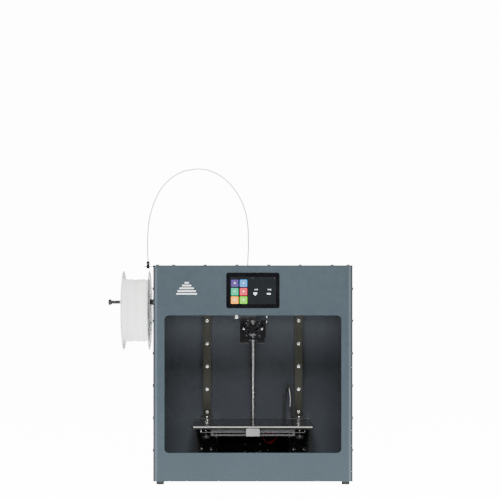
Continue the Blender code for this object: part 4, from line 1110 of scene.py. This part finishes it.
def make_motors():
    make_motor("z_motor", "frame", 2, 1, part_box("z_motor"))
    make_motor("y_motor", "frame", 0, 1, (at(-0.019, 0.167, 0.479), at(0.019, 0.209, 0.521)))
    make_motor("x_motor", "gantry", 1, -1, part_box("x_motor"))
    bracket = [((-0.03, 0.2092, 0.48), (0.03, 0.2176, 0.4815)),
               ((-0.03, 0.216, 0.48), (0.03, 0.2176, 0.52)),
               ((-0.03, 0.2092, 0.5185), (0.03, 0.2176, 0.52))]
    cheeks = mirrored(((0.0285, 0.2092, 0.48), (0.03, 0.2176, 0.52)))
    boxes_piece("y_motor_bracket", "dark_aluminium", "frame", bracket + cheeks, bevel=0.0004)
    connector = [((-0.008, 0.1185, 0.018), (0.008, 0.12, 0.027)),
                 ((-0.009, 0.119, 0.0165), (0.009, 0.1196, 0.0285))]
    boxes_piece("z_motor_connector", "white", "frame", connector, bevel=0.0003)


def belt_path(low, high, radius, spacing):
    """Points (u, v, outward u, outward v) evenly round a belt's path, anticlockwise."""
    straight, half_turn = high - low, math.pi * radius
    around = 2 * (straight + half_turn)
    count = round(around / spacing)
    points = []
    for i in range(count):
        run = around * i / count
        side, run = (1, run) if run < straight + half_turn else (-1, run - straight - half_turn)
        angle = -math.pi / 2 + max(0, run - straight) / radius
        out_u, out_v = side * math.cos(angle), side * math.sin(angle)
        start = low if side > 0 else high
        if run < straight:
            out_u = 0.0
        points.append((start + side * min(run, straight) + radius * out_u, radius * out_v, out_u, out_v))
    return points


def make_belt(name, node, body, axis, low, high, centre_v, middle):
    """A toothed loop: the teeth point inward and are spaced 2 mm apart."""
    path = belt_path(low, high, BELT_OUTER, BELT_STEP)
    path = path[:len(path) - len(path) % 4]
    sinks = [BELT_OUTER - (BELT_TIP if i % 4 < 2 else BELT_ROOT) for i in range(len(path))]
    flat = [0.0] * len(path)
    rings = []
    for offset, depths in ((-1, flat), (1, flat), (1, sinks), (-1, sinks)):
        place = middle + offset * BELT_WIDTH / 2
        points = [(u - out_u * depth, v - out_v * depth + centre_v)
                  for (u, v, out_u, out_v), depth in zip(path, depths)]
        rings.append([at(place, a, b) if axis == "X" else at(a, place, b) for a, b in points])
    form = bmesh.new()
    skin(form, rings, loop=True)
    stand_in(piece(name, form, "belt", body, smooth=False), node)


def make_belts():
    for side, x in (("left", -0.213), ("right", 0.213)):
        make_belt("y_belt_teeth_" + side, "y_belt_" + side, "frame", "X", -0.195, 0.188, 0.5, x)
    make_belt("x_belt_teeth", "x_belt", "gantry", "Y", -0.188, 0.188, 0.471, 0.027)


def make_beam():
    """Slotted aluminium extrusion with end plates, its guide rail and the rail's screws."""
    slot, lip, deep = 0.0031, 0.0018, 0.0045
    low_y, high_y, low_z, high_z = 0.034, 0.054, 0.456, 0.486
    groove = [(0, -slot), (lip, -slot), (lip, -slot * 1.5), (deep, -slot * 0.9)]
    groove += [(y, -z) for y, z in reversed(groove)]
    front = [(low_y, low_z)]
    front += [(low_y + y, centre + z) for centre in (0.4635, 0.4785) for y, z in groove]
    front += [(low_y, high_z)]
    form = bmesh.new()
    add_bar(form, front + [(low_y + high_y - y, z) for y, z in reversed(front)], 0.2188)
    for corner, opposite in mirrored(((0.219, 0.0202, 0.4522), (0.2234, 0.0678, 0.4898))):
        add_box(form, corner, opposite)
    beam = piece("x_beam_extrusion", form, "aluminium", "gantry", smooth=False)
    stand_in(beam, "x_beam")
    form = bmesh.new()
    add_bar(form, [(0.044 - y, z) for y, z in RAIL_HALF_SECTION]
            + [(0.044 + y, z) for y, z in reversed(RAIL_HALF_SECTION)], 0.19)
    piece("x_rail", form, "steel_x", "gantry", smooth=False)
    places = [at(-0.18 + i * 0.024, 0.044, 0.494) for i in range(16)]
    screws("x_rail_screws", places, UP, "gantry", "dark_screw", 0.0026, 0.0004)
    places = [at(x, y, 0.4898) for x in (-0.2212, 0.2212) for y in (0.026, 0.062)]
    screws("beam_end_screws", places, UP, "gantry", "dark_screw", 0.0018, 0.0012)


# --- electronics and inlet ---
BOARD_FACE = 0.1736               # the side of the board that carries its parts
SMALL_CHIPS = ((0.002, 0.0012), (0.0012, 0.002), (0.0045, 0.0035), (0.0032, 0.0016))


def make_board():
    """Populated controller board on four standoffs."""
    standoff = [(0.0018, 0.1662), (0.003, 0.1662), (0.003, 0.172), (0.0018, 0.172)]
    places = [at(x, 0, z) for x in (0.0365, 0.1635) for z in (0.0765, 0.1735)]
    turned_piece("board_standoffs", "brass", "frame", standoff, places, TO_BACK, 6, smooth=False)
    slab = [((0.03, 0.172, 0.07), (0.17, BOARD_FACE, 0.18))]
    stand_in(boxes_piece("controller_board", "board", "frame", slab, bevel=0.0003), "main_board")
    chips = [((0.083, BOARD_FACE, 0.113), (0.101, 0.1752, 0.131))]
    source = random.Random(4)
    for _ in range(70):
        x, z = source.uniform(0.036, 0.162), source.uniform(0.092, 0.145)
        if 0.08 < x < 0.104 and 0.11 < z < 0.134:
            continue
        wide, tall = source.choice(SMALL_CHIPS)
        top = BOARD_FACE + source.uniform(0.0005, 0.0012)
        chips.append(((x, BOARD_FACE, z), (x + wide, top, z + tall)))
    boxes_piece("board_chips", "gloss_black", "frame", chips, smooth=False, bevel=0.0001)
    columns = [0.042 + i * 0.024 for i in range(5)]
    sinks = [((low, 0.174, 0.15), (low + 0.015, 0.1755, 0.165)) for low in columns]
    sinks += [((low, 0.175, 0.15), (low + 0.001, 0.1835, 0.165))
              for column in columns for low in (column + fin * 0.0027 for fin in range(6))]
    boxes_piece("board_heat_sinks", "aluminium", "frame", sinks, smooth=False)
    terminals = [0.051 + i * 0.0082 for i in range(12)]
    sockets = [((low, BOARD_FACE, 0.17), (low + 0.01, 0.179, 0.176)) for low in columns]
    sockets += [((low, BOARD_FACE, 0.0762), (low + 0.0076, 0.1855, 0.0878)) for low in terminals]
    boxes_piece("board_sockets", "white", "frame", sockets, smooth=False, bevel=0.0003)
    places = [at(low + 0.0038, 0.1855, 0.082) for low in terminals]
    screws("terminal_screws", places, TO_BACK, "frame", "dark_screw", 0.0022, 0.0004)
    can = [(0, 0.1736), (0.0045, 0.1736), (0.0045, 0.1742), (0.0042, 0.1748), (0.0045, 0.1754),
           (0.0045, 0.184), (0.0038, 0.1848), (0, 0.1848)]
    places = [at(x, 0, z) for x, z in ((0.04, 0.102), (0.04, 0.118), (0.158, 0.105),
                                       (0.158, 0.122))]
    turned_piece("board_capacitors", "aluminium", "frame", can, places, TO_BACK, 28)


def make_power_supply():
    """Grille of staggered hexagons and four screws on the power supply's cover."""
    low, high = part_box("power_supply")
    places = [(low.x + 0.012 + column * 0.0102 + (row % 2) * 0.0051, high.y, low.z + 0.018 + row * 0.0085)
              for row in range(9) for column in range(14)]
    hole = [(0, 0.0), (0.003, 0.0), (0.003, 0.0003), (0, 0.0003)]
    turned_piece("power_supply_grille", "gloss_black", "frame", hole, places, TO_BACK, 6, smooth=False)
    places = [(x, high.y, z) for x in (low.x + 0.006, high.x - 0.006)
              for z in (low.z + 0.006, high.z - 0.006)]
    screws("power_supply_screws", places, TO_BACK, "frame", "screw", 0.0026, 0.0012)


def make_rear_inlet():
    """Three blades in the socket, two flange screws, and a rocker with two ring marks."""
    blades = [((x - 0.001, 0.2066, z - 0.0022), (x + 0.001, 0.218, z + 0.0022))
              for x, z in ((-0.1135, 0.0585), (-0.1035, 0.0585), (-0.1085, 0.063))]
    boxes_piece("inlet_blades", "brass", "frame", blades, smooth=False, bevel=0.0003)
    places = [at(x, 0.2213, 0.06) for x in (-0.122, -0.078)]
    screws("inlet_screws", places, TO_BACK, "frame", "dark_screw", 0.002, 0.0012)
    curve = [(0.0035, -0.0085), (0.007, -0.0085), (0.0062, -0.006), (0.0054, -0.0025)]
    outline = [(-0.004, -0.004)] + curve + [(0.0051, 0.0)] + [(y, -z) for y, z in reversed(curve)]
    outline.append((-0.004, 0.004))
    turn = Matrix.Translation(at(-0.0865, 0.2135, 0.06)) @ Matrix.Rotation(math.radians(8), 4, "X")
    form = bmesh.new()
    skin(form, [[turn @ Vector((x, y, z)) for y, z in outline] for x in (-0.0067, 0.0067)])
    rocker = piece("rocker", form, "gloss_black", "power_switch", smooth=False, bevel=0.0003)
    stand_in(rocker, "power_switch")
    ring = [(0.001, -0.0001), (0.0014, -0.0001), (0.0014, 0.0002), (0.001, 0.0002)]
    places = [turn @ Vector((0, 0.00585, z)) for z in (-0.0056, 0.0056)]
    turned_piece("rocker_marks", "white", "power_switch", ring, places, TO_BACK, 20, smooth=False)


def make_supply_details():
    """Ferrules and screws of the feed tube's fittings, and the ribbed grip on the spool rod."""
    ferrule = ((0.0021, 0.0), (0.005, 0.0), (0.005, 0.0006), (0.0036, 0.0012), (0.0036, 0.0022),
               (0.0021, 0.0022))
    side = at(-0.2635, SPOOL_Y, 0)
    form = bmesh.new()
    add_turned(form, [(radius, 0.5378 + height) for radius, height in ferrule], side, UP, 28)
    add_turned(form, [(0.0041, 0.5326), (0.0052, 0.5326), (0.0052, 0.5344), (0.0041, 0.5344)], side, UP, 6)
    piece("side_fitting_ferrule", form, "grey_aluminium", "frame")
    places = [at(x, SPOOL_Y, 0.5273) for x in (-0.248, -0.22)]
    screws("side_fitting_screws", places, UP, "frame", "dark_screw", 0.003, 0.0016)
    turned_piece("head_fitting_ferrule", "gloss_black", "carriage",
                 [(radius, 0.47 + height) for radius, height in ferrule], [at(HOT_END_X, 0, 0)], UP, 28)
    low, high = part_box("spool_rod")
    centre = (low + high) / 2
    form = bmesh.new()
    for i in range(9):
        x = at(-0.2415 - i * 0.0018, 0, 0).x
        add_ring(form, (x, centre.y, centre.z), ALONG_X, 0.0075, 0.00035, 28)
    piece("spool_rod_grip", form, "rubber", "frame")


# --- build ---
make_camera()
LOOKS = make_materials()
make_studio()
dress_nodes()
for make_part in (make_cords, make_body_screws, make_mark, make_display, make_spool, make_winding,
                  make_rail_screws, make_lead_screw, make_head_cover, make_fan, make_air_duct,
                  make_head_screws, make_tension_knob, make_head_bracket, make_hot_end,
                  make_carriage_details, make_bed_screws, make_arm_edges, make_heater_leads,
                  make_levelling, make_clip, make_plate_details, make_nut, make_motors, make_belts,
                  make_beam, make_board, make_power_supply, make_rear_inlet, make_supply_details,
                  make_edges, make_white_wire):
    make_part()
